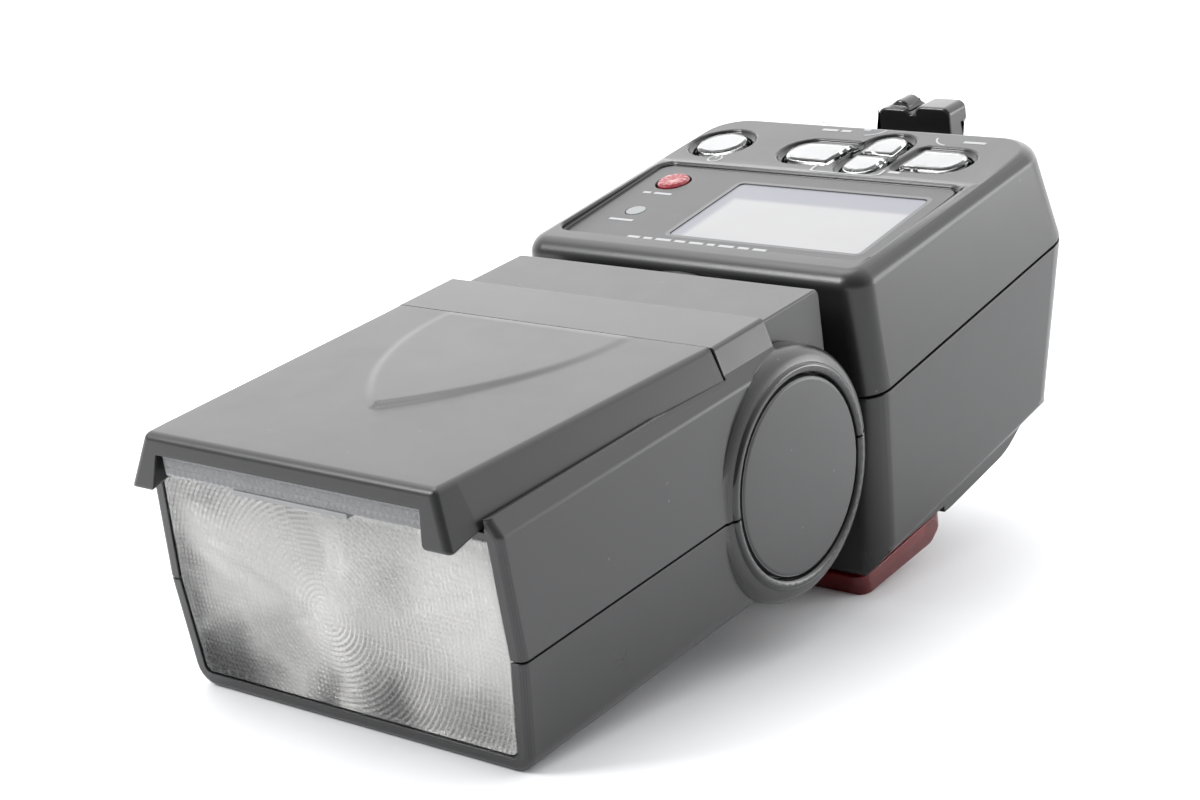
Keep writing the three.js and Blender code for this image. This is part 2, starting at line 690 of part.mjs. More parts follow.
function footPlate() {
  const { centre, neckHalf, plateHalf, plateLength, plateTop, end, baseEnd } = FOOT;
  const low = centre - plateLength / 2;
  const high = centre + plateLength / 2;
  const plate = alongY(outline(rectangle(-plateHalf, plateHalf, low, high, 1)), plateTop, end);
  const neck = alongY(outline(rectangle(-neckHalf, neckHalf, centre - 6, centre + 6, 1)), baseEnd + GAP, end);
  return plate.add(neck)
    .subtract(rodY(LOCK_PIN.radius + GAP, 0, LOCK_PIN.z, 60, 80, 16))
    .subtract(joined(CONTACT_SPOTS.map((spot) => shoeContact(spot, GAP))))
    .subtract(joined(SCREW_SPOTS.map((spot) => footScrew(spot, GAP))));
}

function shoeContact([x, z], clear = 0) {
  const { radius, depth, proud } = CONTACT;
  return rodY(radius + clear, x, FOOT.centre + z, FOOT.end - depth - clear, FOOT.end + proud + clear, 12);
}

function footScrew([x, z], clear = 0) {
  const { radius, depth, sunk } = SCREW;
  return rodY(radius + clear, x, FOOT.centre + z, FOOT.end - depth - clear, FOOT.end - sunk + 2 * clear, 12);
}

// The tab stands above the shoe's corners, so it passes over them as the lever turns.
function lockLever() {
  const { near, far, ring, bore, tabHalf, tabLow, tabTop, tabFar } = LEVER;
  const disc = rodY(ring, 0, FOOT.centre, near, far, 40);
  const arm = alongY(outline(rectangle(-tabHalf, tabHalf, FOOT.centre, tabTop - 1.5, 1.5)), near, far);
  const leftTab = alongY(outline(rectangle(-tabHalf, -0.4, tabLow, tabTop - 0.6, 1.8)), near, tabFar);
  const rightTab = alongY(outline(rectangle(0.3, tabHalf, tabLow, tabTop, 1.4)), near, tabFar);
  const stud = rodY(1.9, -3.1, tabTop - 1.2, near + 1, tabFar - 0.6, 16);
  return joined([disc, arm, leftTab, rightTab, stud]).subtract(rodY(bore, 0, FOOT.centre, near - 1, 80, 40));
}

function footParts() {
  const group = new THREE.Group();
  group.add(piece('foot_base', footBase(), TRIM));
  group.add(piece('foot_plate', footPlate(), STEEL));
  CONTACT_SPOTS.forEach((spot, i) => group.add(piece(`shoe_contact_${i + 1}`, shoeContact(spot), BRASS)));
  SCREW_SPOTS.forEach((spot, i) => group.add(piece(`foot_screw_${i + 1}`, footScrew(spot), STEEL)));
  group.add(piece('lock_lever', lockLever(), TRIM));
  group.add(piece('lock_pin', rodY(LOCK_PIN.radius, 0, LOCK_PIN.z, LOCK_PIN.near, LOCK_PIN.far, 16), STEEL));
  return group;
}

// ---- Neck -----------------------------------------------------------------------------------------------

function swivelRing() {
  const { outer, near, far } = SWIVEL_RING;
  return rodY(outer, 0, TILT.z, near, far, 48).subtract(rodY(NECK.stub + GAP, 0, TILT.z, -10, 10, 48));
}

function neckBlock() {
  const profile = [
    [NECK.front, NECK.top, 0.5],
    [NECK.rear, NECK.top, 1.2],
    [NECK.rear, TILT.z - NECK.drop, 1],
    [NECK.front, TILT.z - NECK.drop, 1],
  ];
  return joined([
    alongX(outline(profile), -NECK.half, NECK.half),
    rodX(NECK.barrel, TILT.y, TILT.z, -NECK.half, NECK.half, 40),
    rodY(NECK.stub, 0, TILT.z, NECK.rear - 1, SWIVEL_PLATE.near - GAP, 48),
  ])
    .subtract(rodX(SHAFT.radius + GAP, TILT.y, TILT.z, -FAR, FAR))
    .subtract(rodY(NECK.bore, 0, TILT.z, TILT.y, 10, 24));
}

function swivelPlate() {
  const { radius, near, thick } = SWIVEL_PLATE;
  return rodY(radius, 0, TILT.z, near, near + thick, 40).subtract(rodY(NECK.bore, 0, TILT.z, 0, 10, 24));
}

function neckParts() {
  const group = new THREE.Group();
  group.add(piece('neck_block', neckBlock(), SHELL));
  group.add(piece('swivel_plate', swivelPlate(), STEEL));
  group.add(piece('tilt_shaft', rodX(SHAFT.radius, TILT.y, TILT.z, SHAFT.left, SHAFT.right, 24), STEEL));
  return group;
}

// ---- Head -----------------------------------------------------------------------------------------------

// The head seen from the front, widest at the seam between its shells.
function headSection(depth = 0) {
  return inset(mirrored([
    [HEAD.stripHalf, HEAD.stripTop, 0.8],
    [HEAD.halfShoulder, HEAD.shoulder, 0.3],
    [HEAD.halfSide, HEAD.sideTop, 1.9],
    [HEAD.halfSeam, HEAD.seam],
    [HEAD.halfBottom, HEAD.bottom, 3.6],
  ]), depth);
}

// The head between its ears: the rear wall steps forward below the tilt axis, to clear the neck.
function headMiddle() {
  const { front, frontEdge, rear, seam, backWall, bottom } = HEAD;
  const above = block(-FAR, FAR, front, rear, seam, FAR);
  const below = block(-FAR, FAR, front, backWall, bottom - 5, seam + 1);
  const rings = roundedEdge(frontEdge).map(({ drawnIn, back }) => outline(headSection(drawnIn))
    .map(({ x, y: z }) => new THREE.Vector3(x, front + back, z)));
  const rearRing = rings[0].map(({ x, z }) => new THREE.Vector3(x, rear, z));
  return lofted([rearRing, ...rings], 'x', 'z')
    .intersect(above.add(below))
    .subtract(rodX(NECK.barrel + 0.6, TILT.y, TILT.z, -FAR, FAR, 48));
}

// A disc with a rounded rim, and the cheek that joins it to the head.
function ear() {
  const { radius, inside, outside, round } = EAR;
  const rim = [];
  for (let step = 0; step <= 4; step += 1) {
    const angle = (Math.PI / 2) * (step / 4);
    rim.push([outside - round + round * Math.sin(angle), radius - round + round * Math.cos(angle)]);
  }
  const disc = turnedX([[inside, 0], [inside, radius], ...rim, [outside, 0]], TILT.y, TILT.z, 56);
  const cheek = alongY(outline(headSection()), HEAD.backWall - 1, HEAD.rear)
    .intersect(block(EAR.inside, FAR, -FAR, 0, -FAR, FAR));
  return joined([disc, cheek, pivotBead()]);
}

// A rounded ring that stands up around the pivot cap.
function pivotBead() {
  const { inner, outer, height } = BEAD;
  const middle = (inner + outer) / 2;
  const profile = [[EAR.outside - 1, inner], [EAR.outside - 1, outer]];
  for (let step = 0; step <= 6; step += 1) {
    const angle = (Math.PI * step) / 6;
    profile.push([EAR.outside + height * Math.sin(angle), middle + (outer - middle) * Math.cos(angle)]);
  }
  return turnedX([...profile, profile[0]], TILT.y, TILT.z, 56);
}

function pivotSeat() {
  return rodX(BEAD.inner, TILT.y, TILT.z, EAR.outside - PIVOT_CAP.depth, FAR, 56);
}

function headHollow() {
  const { wall, rear, backWall, bottom, seam, deck, deckThick } = HEAD;
  const above = block(-FAR, FAR, -2 * FAR, rear - wall, seam, deck - deckThick);
  const below = block(-FAR, FAR, -2 * FAR, backWall - wall, bottom, seam + 1);
  return alongY(outline(headSection(wall)), -2 * FAR, rear)
    .intersect(above.add(below))
    .subtract(rodX(NECK.barrel + 0.6 + wall, TILT.y, TILT.z, -FAR, FAR, 48));
}

// One ring of the hood's outer form. Its front end leans out below, over the lens.
function hoodRing(station, depth, lean) {
  const { y, halfTop, halfLow, top, low } = station;
  const corners = mirrored([[halfTop - depth, top - depth, 0.9], [halfLow - depth, low, 0.4]]);
  return outline(corners, 3).map(({ x, y: z }) => {
    const out = (lean * (top - z)) / (top - low);
    return new THREE.Vector3(x, y - out, z);
  });
}

function hoodBlank(depth = 0) {
  const [rear, lens, lip] = HOOD.stations;
  const lipTop = { ...lip, y: lip.y + HOOD.lean };
  const rings = [hoodRing(rear, depth, 0), hoodRing(lens, depth, 0), hoodRing(lipTop, depth, HOOD.lean)];
  return lofted(rings, 'x', 'z');
}

function hoodPanel() {
  const [rear, lens, lip] = HOOD.stations;
  const slot = [rear, lens, lip].map((station, i) => {
    const y = [rear.y - HOOD.wall, lens.y, lip.y - 5][i];
    return hoodRing({ ...station, y, low: -20 }, HOOD.wall, 0);
  });
  return hoodBlank().subtract(lofted(slot, 'x', 'z'));
}

// The room above the head's deck for the hood and the wide panel.
function deckRoom() {
  const footprint = HOOD.stations.map(({ y, halfLow }, i) => [halfLow + GAP, [y + GAP, y, y - 10][i]]);
  const plan = [...footprint, ...footprint.map(([x, y]) => [-x, y]).reverse()];
  const outside = block(-FAR, FAR, -2 * FAR, HOOD.stations[0].y + GAP, HEAD.shoulder + 0.2, 10);
  return alongZ(outline(plan), HEAD.deck, 10).add(outside);
}

function headBlank() {
  return joined([headMiddle(), ear(), mirroredX(ear())])
    .subtract(headHollow())
    .subtract(deckRoom())
    .subtract(pivotSeat())
    .subtract(mirroredX(pivotSeat()))
    .subtract(rodX(SHAFT.radius + GAP, TILT.y, TILT.z, -FAR, FAR))
    .subtract(rodX(RELEASE_KEY.radius + 0.4, TILT.y, TILT.z, -FAR, RELEASE_KEY.floor));
}

function headTopShell() {
  return headBlank().intersect(block(-FAR, FAR, -2 * FAR, FAR, HEAD.seam + GAP / 2, FAR));
}

function headBottomShell() {
  return headBlank().intersect(block(-FAR, FAR, -2 * FAR, FAR, -FAR, HEAD.seam - GAP / 2));
}

function fresnelLens() {
  const section = outline(headSection(HEAD.wall + GAP));
  return alongY(section, LENS.front, LENS.front + LENS.thick)
    .intersect(block(-FAR, FAR, -2 * FAR, 0, -FAR, HEAD.deck - HEAD.deckThick - GAP));
}

function widePanel() {
  const { half, front, rear, low, high } = WIDE_PANEL;
  const lip = PANEL_LIP;
  return joined([
    block(-half, half, front, rear, low, high),
    block(-half, half, front, front + lip.thick, lip.low, lip.high),
    block(-lip.tabHalf, lip.tabHalf, front, front + lip.tabThick, lip.low - lip.tabDrop, lip.high),
  ]);
}

function pivotCap() {
  const { radius, depth, crown } = PIVOT_CAP;
  const inner = EAR.outside - depth + GAP;
  return turnedX([
    [inner, 0],
    [inner, radius],
    [EAR.outside - 0.1, radius],
    [EAR.outside + 0.35, radius - 0.5],
    [EAR.outside + crown, radius * 0.6],
    [EAR.outside + crown + 0.1, 0],
  ], TILT.y, TILT.z, 48);
}

function releaseButton() {
  const { radius, inner, outer } = RELEASE_KEY;
  const profile = [[outer, 0], [outer, radius - 0.8], [outer + 0.6, radius], [inner, radius], [inner, 0]];
  return turnedX(profile, TILT.y, TILT.z, 28);
}

// A trough with a parabola for its section, closed at both ends.
function reflector() {
  const { half, rise, depth, back, wall } = REFLECTOR;
  const curve = (grow) => {
    const points = [];
    for (let step = -8; step <= 8; step += 1) {
      const t = step / 8;
      points.push(new THREE.Vector2(back + grow - (depth + grow) * t * t, TILT.z + (rise + grow) * t));
    }
    return points;
  };
  const tubeEnds = rodX(TUBE.hole, TUBE.y, TILT.z, -FAR, FAR, 16);
  return alongX(curve(wall), -half, half)
    .subtract(alongX(curve(0), wall - half, half - wall).translate([0, -0.01, 0]))
    .subtract(tubeEnds);
}

function zoomCarriage() {
  const { front, thick, half, low, high } = CARRIAGE;
  const plate = alongY(outline(rectangle(-half, half, low, high, 2)), front, front + thick);
  const bores = GUIDE_RODS.spots.map(([x, z]) => rodY(GUIDE_RODS.radius + GAP, x, z, -FAR * 2, 0, 16));
  const nut = rodY(LEAD_SCREW.radius + GAP, LEAD_SCREW.x, TILT.z, -FAR * 2, 0, 16);
  return plate.subtract(joined(bores)).subtract(nut);
}

function guideRod([x, z]) {
  return rodY(GUIDE_RODS.radius, x, z, GUIDE_RODS.far, GUIDE_RODS.near, 12);
}

// The lead screw and its motor share a line.
function screwLine({ radius, near, far }, steps) {
  return rodY(radius, LEAD_SCREW.x, TILT.z, far, near, steps);
}

function zoomParts() {
  const group = new THREE.Group();
  group.add(piece('zoom_carriage', zoomCarriage(), TRIM));
  group.add(piece('reflector', reflector(), MIRROR));
  group.add(piece('flash_tube', rodX(TUBE.radius, TUBE.y, TILT.z, -TUBE.half, TUBE.half, 16), TUBE_GLASS));
  return group;
}

function headParts() {
  const group = new THREE.Group();
  group.add(piece('head_top_shell', headTopShell(), SHELL));
  group.add(piece('head_bottom_shell', headBottomShell(), SHELL));
  group.add(piece('hood_panel', hoodPanel(), SHELL));
  group.add(piece('fresnel_lens', fresnelLens(), CLEAR));
  group.add(piece('wide_panel', widePanel(), CLEAR));
  group.add(piece('pivot_cap_right', pivotCap(), SHELL));
  group.add(piece('pivot_cap_left', mirroredX(pivotCap())
    .subtract(rodX(RELEASE_KEY.radius + GAP, TILT.y, TILT.z, -FAR, 0)), SHELL));
  group.add(piece('release_button', releaseButton(), TRIM));
  group.add(zoomParts());
  GUIDE_RODS.spots.forEach((spot, i) => group.add(piece(`guide_rod_${i + 1}`, guideRod(spot), STEEL)));
  group.add(piece('lead_screw', screwLine(LEAD_SCREW, 12), STEEL));
  group.add(piece('zoom_motor', screwLine(MOTOR, 20), STEEL));
  group.add(piece('trigger_coil', block(...TRIGGER_COIL), BRASS));
  return group;
}

// ---- Assembly -------------------------------------------------------------------------------------------

// The flash leans on two rounded edges, the head's lower front edge and the head-end edge of the red window.
function restPitch() {
  const run = WINDOW.near + WINDOW.edge - HEAD.front - HEAD.frontEdge;
  const rise = HEAD.bottom + HEAD.frontEdge - WINDOW.bottom - WINDOW.edge;
  return Math.atan2(rise, run) - Math.asin((HEAD.frontEdge - WINDOW.edge) / Math.hypot(run, rise));
}

const leaning = new THREE.Group();
leaning.add(controlParts(), footParts(), neckParts(), headParts());
leaning.rotation.x = restPitch();

const flash = new THREE.Group();
flash.add(leaning);
const extent = new THREE.Box3().setFromObject(flash, true);
const middle = extent.getCenter(new THREE.Vector3());
leaning.position.set(-middle.x, -middle.y, -extent.min.z);

export default flash;
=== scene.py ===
"""The looks of a shoe-mount camera flash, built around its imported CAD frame.

Pieces are laid out in the flash's own axes, in millimetres: +X across it, +Y along it towards the shoe
foot and +Z out of the display, with the origin at the display edge of the control unit's head end.
FLASH_TO_ROW carries them into the frame's metres.
"""

import json
import math

import bmesh
import bpy
from mathutils import Matrix, Vector


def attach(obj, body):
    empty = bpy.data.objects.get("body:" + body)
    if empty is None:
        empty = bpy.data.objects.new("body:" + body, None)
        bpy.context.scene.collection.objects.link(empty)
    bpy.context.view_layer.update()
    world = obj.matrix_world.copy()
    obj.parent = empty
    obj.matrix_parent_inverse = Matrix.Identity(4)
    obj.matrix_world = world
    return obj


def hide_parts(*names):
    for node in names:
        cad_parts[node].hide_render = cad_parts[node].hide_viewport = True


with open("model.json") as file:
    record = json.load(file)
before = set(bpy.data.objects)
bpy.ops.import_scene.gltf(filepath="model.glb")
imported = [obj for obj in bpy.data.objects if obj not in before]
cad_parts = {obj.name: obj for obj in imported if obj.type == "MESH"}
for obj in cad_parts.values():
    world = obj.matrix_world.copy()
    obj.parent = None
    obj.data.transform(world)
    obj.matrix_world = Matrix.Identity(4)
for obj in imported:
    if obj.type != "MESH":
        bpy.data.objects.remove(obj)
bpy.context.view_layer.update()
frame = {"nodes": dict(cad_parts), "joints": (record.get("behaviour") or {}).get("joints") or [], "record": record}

MM = 0.001
AXIS_DEPTH = 23.1  # the swivel and tilt axes below the display edge
JOINTS = {joint["name"]: joint for joint in frame["joints"]}
PITCH = math.atan2(JOINTS["swivel"]["axis"][2], JOINTS["swivel"]["axis"][1])
FLASH_TO_ROW = (
    Matrix.Translation(JOINTS["swivel"]["pos_m"])
    @ Matrix.Rotation(PITCH, 4, "X")
    @ Matrix.Scale(MM, 4)
    @ Matrix.Translation((0, 0, AXIS_DEPTH))
)
ROW_TO_FLASH = FLASH_TO_ROW.inverted()


def corners_of(node):
    """A CAD node's points in the flash's own axes, in millimetres."""
    return [ROW_TO_FLASH @ vertex.co for vertex in frame["nodes"][node].data.vertices]


def extent(node):
    """The lowest and highest corners of a CAD node in the flash's own axes, in millimetres."""
    corners = corners_of(node)
    low = Vector([min(corner[i] for corner in corners) for i in range(3)])
    high = Vector([max(corner[i] for corner in corners) for i in range(3)])
    return low, high


# The lens has moulded rings around its middle, which its shape and its material share.
RINGS = {"middle": (-2.0, -23.0), "pitch": 0.78, "depth": 0.2, "spokes": 168}


# ---- Materials ----------------------------------------------------------------------------------------


class Recipe:
    """A material's node tree, with short calls for the nodes that the materials share."""

    flat = 0.995  # how well the true and the rounded normal agree on a flat
    sharp = 0.9  # and on an edge
    speck_radius = 0.16  # as a share of a speck's cell

    def __init__(self, name):
        self.material = bpy.data.materials.new(name)
        self.material.use_nodes = True
        self.tree = self.material.node_tree
        self.shader = self.tree.nodes["Principled BSDF"]
        self.place = self.node("ShaderNodeTexCoord").outputs["Object"]

    def feed(self, socket, value):
        """Links a socket to another node's output, or sets it to a plain value."""
        if isinstance(value, bpy.types.NodeSocket):
            self.tree.links.new(value, socket)
        else:
            socket.default_value = value

    def node(self, kind, inputs=None, **settings):
        node = self.tree.nodes.new(kind)
        for key, value in settings.items():
            setattr(node, key, value)
        for key, value in (inputs or {}).items():
            self.feed(node.inputs[key], value)
        return node

    def noise(self, size, detail=2.0, roughness=0.5, at=None):
        """Noise whose features are about size metres across."""
        inputs = {
            "Vector": at or self.place,
            "Scale": 1 / size,
            "Detail": detail,
            "Roughness": roughness,
        }
        return self.node("ShaderNodeTexNoise", inputs).outputs["Fac"]

    def stretched(self, scale, turn=(0, 0, 0)):
        """The surface point, scaled and turned."""
        inputs = {"Vector": self.place, "Scale": scale, "Rotation": turn}
        return self.node("ShaderNodeMapping", inputs).outputs["Vector"]

    def math(self, operation, a, b=0.0):
        return self.node("ShaderNodeMath", {0: a, 1: b}, operation=operation).outputs[0]

    def vector(self, operation, inputs, output="Vector"):
        return self.node("ShaderNodeVectorMath", inputs, operation=operation).outputs[output]

    def ramp(self, value, low, high, out_low=0.0, out_high=1.0):
        """A smooth step from out_low to out_high as the value goes from low to high."""
        inputs = {"Value": value, 1: low, 2: high, 3: out_low, 4: out_high}
        return self.node("ShaderNodeMapRange", inputs, interpolation_type="SMOOTHSTEP").outputs[0]

    def mix(self, share, a, b):
        """The colour a where share is 0 and the colour b where it is 1."""
        node = self.node("ShaderNodeMix", {0: share, 6: a, 7: b}, data_type="RGBA")
        return node.outputs[2]

    def specks(self, size, share):
        """Small round spots on a share of the cells of a grid whose cells are size metres across."""
        cells = self.node("ShaderNodeTexVoronoi", {"Vector": self.place, "Scale": 1 / size})
        draw = self.node("ShaderNodeSeparateColor", {0: cells.outputs["Color"]}).outputs[0]
        chosen = self.math("LESS_THAN", draw, share)
        spot = self.math("LESS_THAN", cells.outputs["Distance"], self.speck_radius)
        return self.math("MULTIPLY", chosen, spot)

    def edges(self, radius):
        """How far the surface turns within a radius: 0 on flats and 1 on sharp edges."""
        rounded = self.node("ShaderNodeBevel", {"Radius": radius}, samples=4).outputs[0]
        true = self.node("ShaderNodeNewGeometry").outputs["True Normal"]
        agree = self.vector("DOT_PRODUCT", {0: rounded, 1: true}, "Value")
        return self.ramp(agree, self.flat, self.sharp)

    def bump(self, height, distance, strength):
        """The surface normal over a relief that is up to distance metres high."""
        inputs = {"Height": height, "Distance": distance, "Strength": strength}
        return self.node("ShaderNodeBump", inputs).outputs["Normal"]

    def set(self, **sockets):
        """Feeds the shader's sockets, with _ for the spaces in their names, and gives the material."""
        for key, value in sockets.items():
            self.feed(self.shader.inputs[key.replace("_", " ")], value)
        return self.material


COOL_CAST = 1.03  # the blue of the flash's greys, over their red and green


def grey(level):
    return (level, level, level * COOL_CAST, 1)


DUST_COLOUR = (0.3, 0.3, 0.31, 1)
# The sizes of what a moulded surface shows, in millimetres.
PLASTIC = {"worn_edge": 0.8, "cloud": 14, "smear": 5, "speck_cell": 1.3, "grain": 0.22}


def moulded_plastic(name, level, roughness, polish=0.16, dust=0.012, grain_depth=0.03):
    """Moulded plastic: a spark-eroded grain, edges polished by handling, faint smears and fine dust."""
    recipe = Recipe(name)
    edge = recipe.edges(PLASTIC["worn_edge"] * MM)
    cloud = recipe.noise(PLASTIC["cloud"] * MM, 3)
    askew = recipe.stretched((1, 1, 0.5), (0.2, 0.4, 0.1))
    smear = recipe.noise(PLASTIC["smear"] * MM, 4, 0.6, at=askew)
    dirt = recipe.specks(PLASTIC["speck_cell"] * MM, dust)
    clouded = recipe.mix(cloud, grey(level * 0.92), grey(level * 1.1))
    worn = recipe.mix(edge, clouded, grey(level * 0.75))
    colour = recipe.mix(recipe.math("MULTIPLY", dirt, 0.16), worn, DUST_COLOUR)
    # The clouds and the smears each add up to 0.06, around the roughness that is asked for.
    uneven = recipe.math("ADD", recipe.math("MULTIPLY", cloud, 0.06), roughness - 0.05)
    uneven = recipe.math("ADD", uneven, recipe.math("MULTIPLY", smear, 0.06))
    gloss = recipe.node("ShaderNodeMix", {0: edge, 2: uneven, 3: polish}).outputs[0]
    normal = recipe.bump(recipe.noise(PLASTIC["grain"] * MM, 2), grain_depth * MM, 0.35)
    return recipe.set(Base_Color=colour, Roughness=gloss, Normal=normal, IOR=1.5)


def simple(name, colour, roughness, metallic=0.0, transmission=0.0, grain=0.3, depth=0.02):
    """One colour that clouds darken a little, over a fine grain, both of its measures in millimetres."""
    recipe = Recipe(name)
    cloud = recipe.noise(6 * MM, 3)
    darker = tuple(channel * 0.85 for channel in colour) + (1,)
    base = recipe.mix(cloud, darker, colour + (1,))
    gloss = recipe.math("ADD", recipe.math("MULTIPLY", cloud, 0.1), max(roughness - 0.05, 0))
    normal = recipe.bump(recipe.noise(grain * MM, 2), depth * MM, 0.3)
    return recipe.set(
        Base_Color=base,
        Roughness=gloss,
        Normal=normal,
        Metallic=metallic,
        Transmission_Weight=transmission,
    )


def in_flash_axes(recipe):
    """The surface point in the flash's own axes, in millimetres."""
    place, turn, scale = ROW_TO_FLASH.decompose()
    inputs = {"Vector": recipe.place, "Location": place, "Rotation": turn.to_euler(), "Scale": scale}
    return recipe.node("ShaderNodeMapping", inputs).outputs["Vector"]


def flash_axis(recipe, index):
    """How far along one of the flash's axes the surface point is, in millimetres."""
    return recipe.node("ShaderNodeSeparateXYZ", {0: in_flash_axes(recipe)}).outputs[index]


# Where the display's bands of painted shade begin and are full: along y for the far one, along x for the left one.
FAR_SHADE_BAND = (24.8, 26.4)
LEFT_SHADE_BAND = (-6.6, -8.2)


def screen_glass(name):
    """A reflective display: pale, with a band of painted shade in bluish grey along its far edge and its left
    edge.
    """
    recipe = Recipe(name)
    # Painted shade: darker bluish grey bands along the display's far edge and its left edge.
    far_shade_band = recipe.ramp(flash_axis(recipe, 1), *FAR_SHADE_BAND)
    left_shade_band = recipe.ramp(flash_axis(recipe, 0), *LEFT_SHADE_BAND)
    painted_shade_band = recipe.math("MAXIMUM", far_shade_band, left_shade_band)
    cloud = recipe.noise(9 * MM, 2)
    pale = recipe.mix(cloud, (0.27, 0.27, 0.275, 1), (0.3, 0.3, 0.305, 1))
    colour = recipe.mix(painted_shade_band, pale, (0.18, 0.186, 0.21, 1))
    grain = recipe.bump(recipe.noise(0.3 * MM, 1), 0.01 * MM, 0.2)
    return recipe.set(Base_Color=colour, Roughness=0.35, Normal=grain, Specular_IOR_Level=0.3)


# Soft patches of painted shade in the lens: the reflector's reflection painted into its colour. Each row is a
# patch's middle in x and z, its half width, its half height and its strength.
LENS_PAINTED_SHADES = [
    (-31.0, -24.0, 7.0, 30.0, 0.62),
    (-26.0, -36.0, 17.0, 12.0, 0.98),
    (-4.5, -36.5, 5.5, 8.0, 0.6),
    (7.0, -35.0, 8.0, 10.0, 0.66),
    (12.0, -15.0, 9.0, 6.0, 0.2),
    (-12.0, -29.0, 12.0, 7.0, 0.28),
    (-22.0, -9.0, 8.0, 4.0, 0.3),
    (24.0, -34.0, 12.0, 9.0, 0.32),
]
# Soft patches of painted light in the lens, in the same columns.
LENS_PAINTED_LIGHTS = [
    (0.8, -11.0, 2.8, 10.0, 0.85),
    (-0.4, -34.0, 1.5, 10.0, 0.8),
    (-3.0, -22.0, 9.0, 7.0, 0.4),
    (-24.0, -15.0, 6.0, 7.0, 0.4),
    (24.0, -18.0, 12.0, 14.0, 0.55),
]


def patches(recipe, place, rows):
    """The strongest of some soft elliptical patches of painted shade and light across the lens."""
    total = 0.0
    for x, z, half_wide, half_tall, strength in rows:
        away = from_middle(recipe, place, x, z, 1 / half_wide, 1 / half_tall)
        total = recipe.math("MAXIMUM", total, recipe.ramp(away, 0.0, 1.1, strength, 0.0))
    return total


def from_middle(recipe, place, x, z, x_scale=1.0, z_scale=1.0):
    """The distance across the lens from its point x, z, with each axis scaled."""
    inputs = {
        "Vector": place,
        "Location": (-x * x_scale, 0.0, -z * z_scale),
        "Scale": (x_scale, 0.0, z_scale),
    }
    local = recipe.node("ShaderNodeMapping", inputs).outputs["Vector"]
    return recipe.vector("LENGTH", {0: local}, "Value")


def prism_grid(recipe, place):
    """Fine prisms that cross each other, from 0 in their valleys to 1 on their crests."""
    inputs = {"Vector": place, "Scale": 0.42}
    across = recipe.node("ShaderNodeTexWave", inputs, bands_direction="X").outputs["Fac"]
    upwards = recipe.node("ShaderNodeTexWave", inputs, bands_direction="Z").outputs["Fac"]
    return recipe.math("MULTIPLY", across, upwards)


def wandering(recipe, place):
    """The point, moved up to 4.5 mm each way by slow noise, so that patches get uneven outlines."""
    drift = recipe.node("ShaderNodeTexNoise", {"Vector": place, "Scale": 0.16, "Detail": 3.0})
    centred = recipe.vector("SUBTRACT", {0: drift.outputs["Color"], 1: (0.5, 0.5, 0.5)})
    shift = recipe.vector("SCALE", {0: centred, "Scale": 9.0})
    return recipe.vector("ADD", {0: place, 1: shift})


def lens_plastic(name):
    """Clear plastic with fine prisms, with painted light and shade in its colour: shaded rings, lit prism crests
    and soft patches.
    """
    recipe = Recipe(name)
    place = in_flash_axes(recipe)
    grid = prism_grid(recipe, place)
    wavy = wandering(recipe, place)
    # Painted shade: the patches of painted shade, less the patches of painted light.
    painted_shade = recipe.math(
        "SUBTRACT",
        patches(recipe, wavy, LENS_PAINTED_SHADES),
        patches(recipe, wavy, LENS_PAINTED_LIGHTS),
    )
    away = from_middle(recipe, place, *RINGS["middle"])
    rings = recipe.math("SINE", recipe.math("MULTIPLY", away, 2 * math.pi / RINGS["pitch"]))
    # Painted shade in bands along the rings, and painted highlights on the prism crests.
    painted_shade = recipe.math("ADD", painted_shade, recipe.math("MULTIPLY", rings, 0.1))
    painted_shade = recipe.math("ADD", painted_shade, recipe.math("MULTIPLY", grid, -0.22))
    # The painted light and shade run from a near white to a near black.
    bright, dark = (0.98, 0.978, 0.955, 1), (0.1, 0.1, 0.102, 1)
    return recipe.set(
        Base_Color=recipe.mix(recipe.ramp(painted_shade, -0.3, 0.95), bright, dark),
        Roughness=0.14,
        Normal=recipe.bump(grid, 0.1 * MM, 0.7),
        IOR=1.42,
        Transmission_Weight=0.7,
    )


def reflector_metal(name):
    """Bright rolled aluminium with soft waves across it and patches of a darker old film."""
    recipe = Recipe(name)
    wave = recipe.noise(9 * MM, 2, at=recipe.stretched((1, 0.6, 1)))
    clean = recipe.ramp(recipe.noise(13 * MM, 1), 0.38, 0.62)
    colour = recipe.mix(clean, (0.52, 0.52, 0.51, 1), (0.96, 0.96, 0.93, 1))
    normal = recipe.bump(wave, 1.2 * MM, 0.5)
    return recipe.set(Base_Color=colour, Metallic=0.75, Roughness=0.42, Normal=normal)


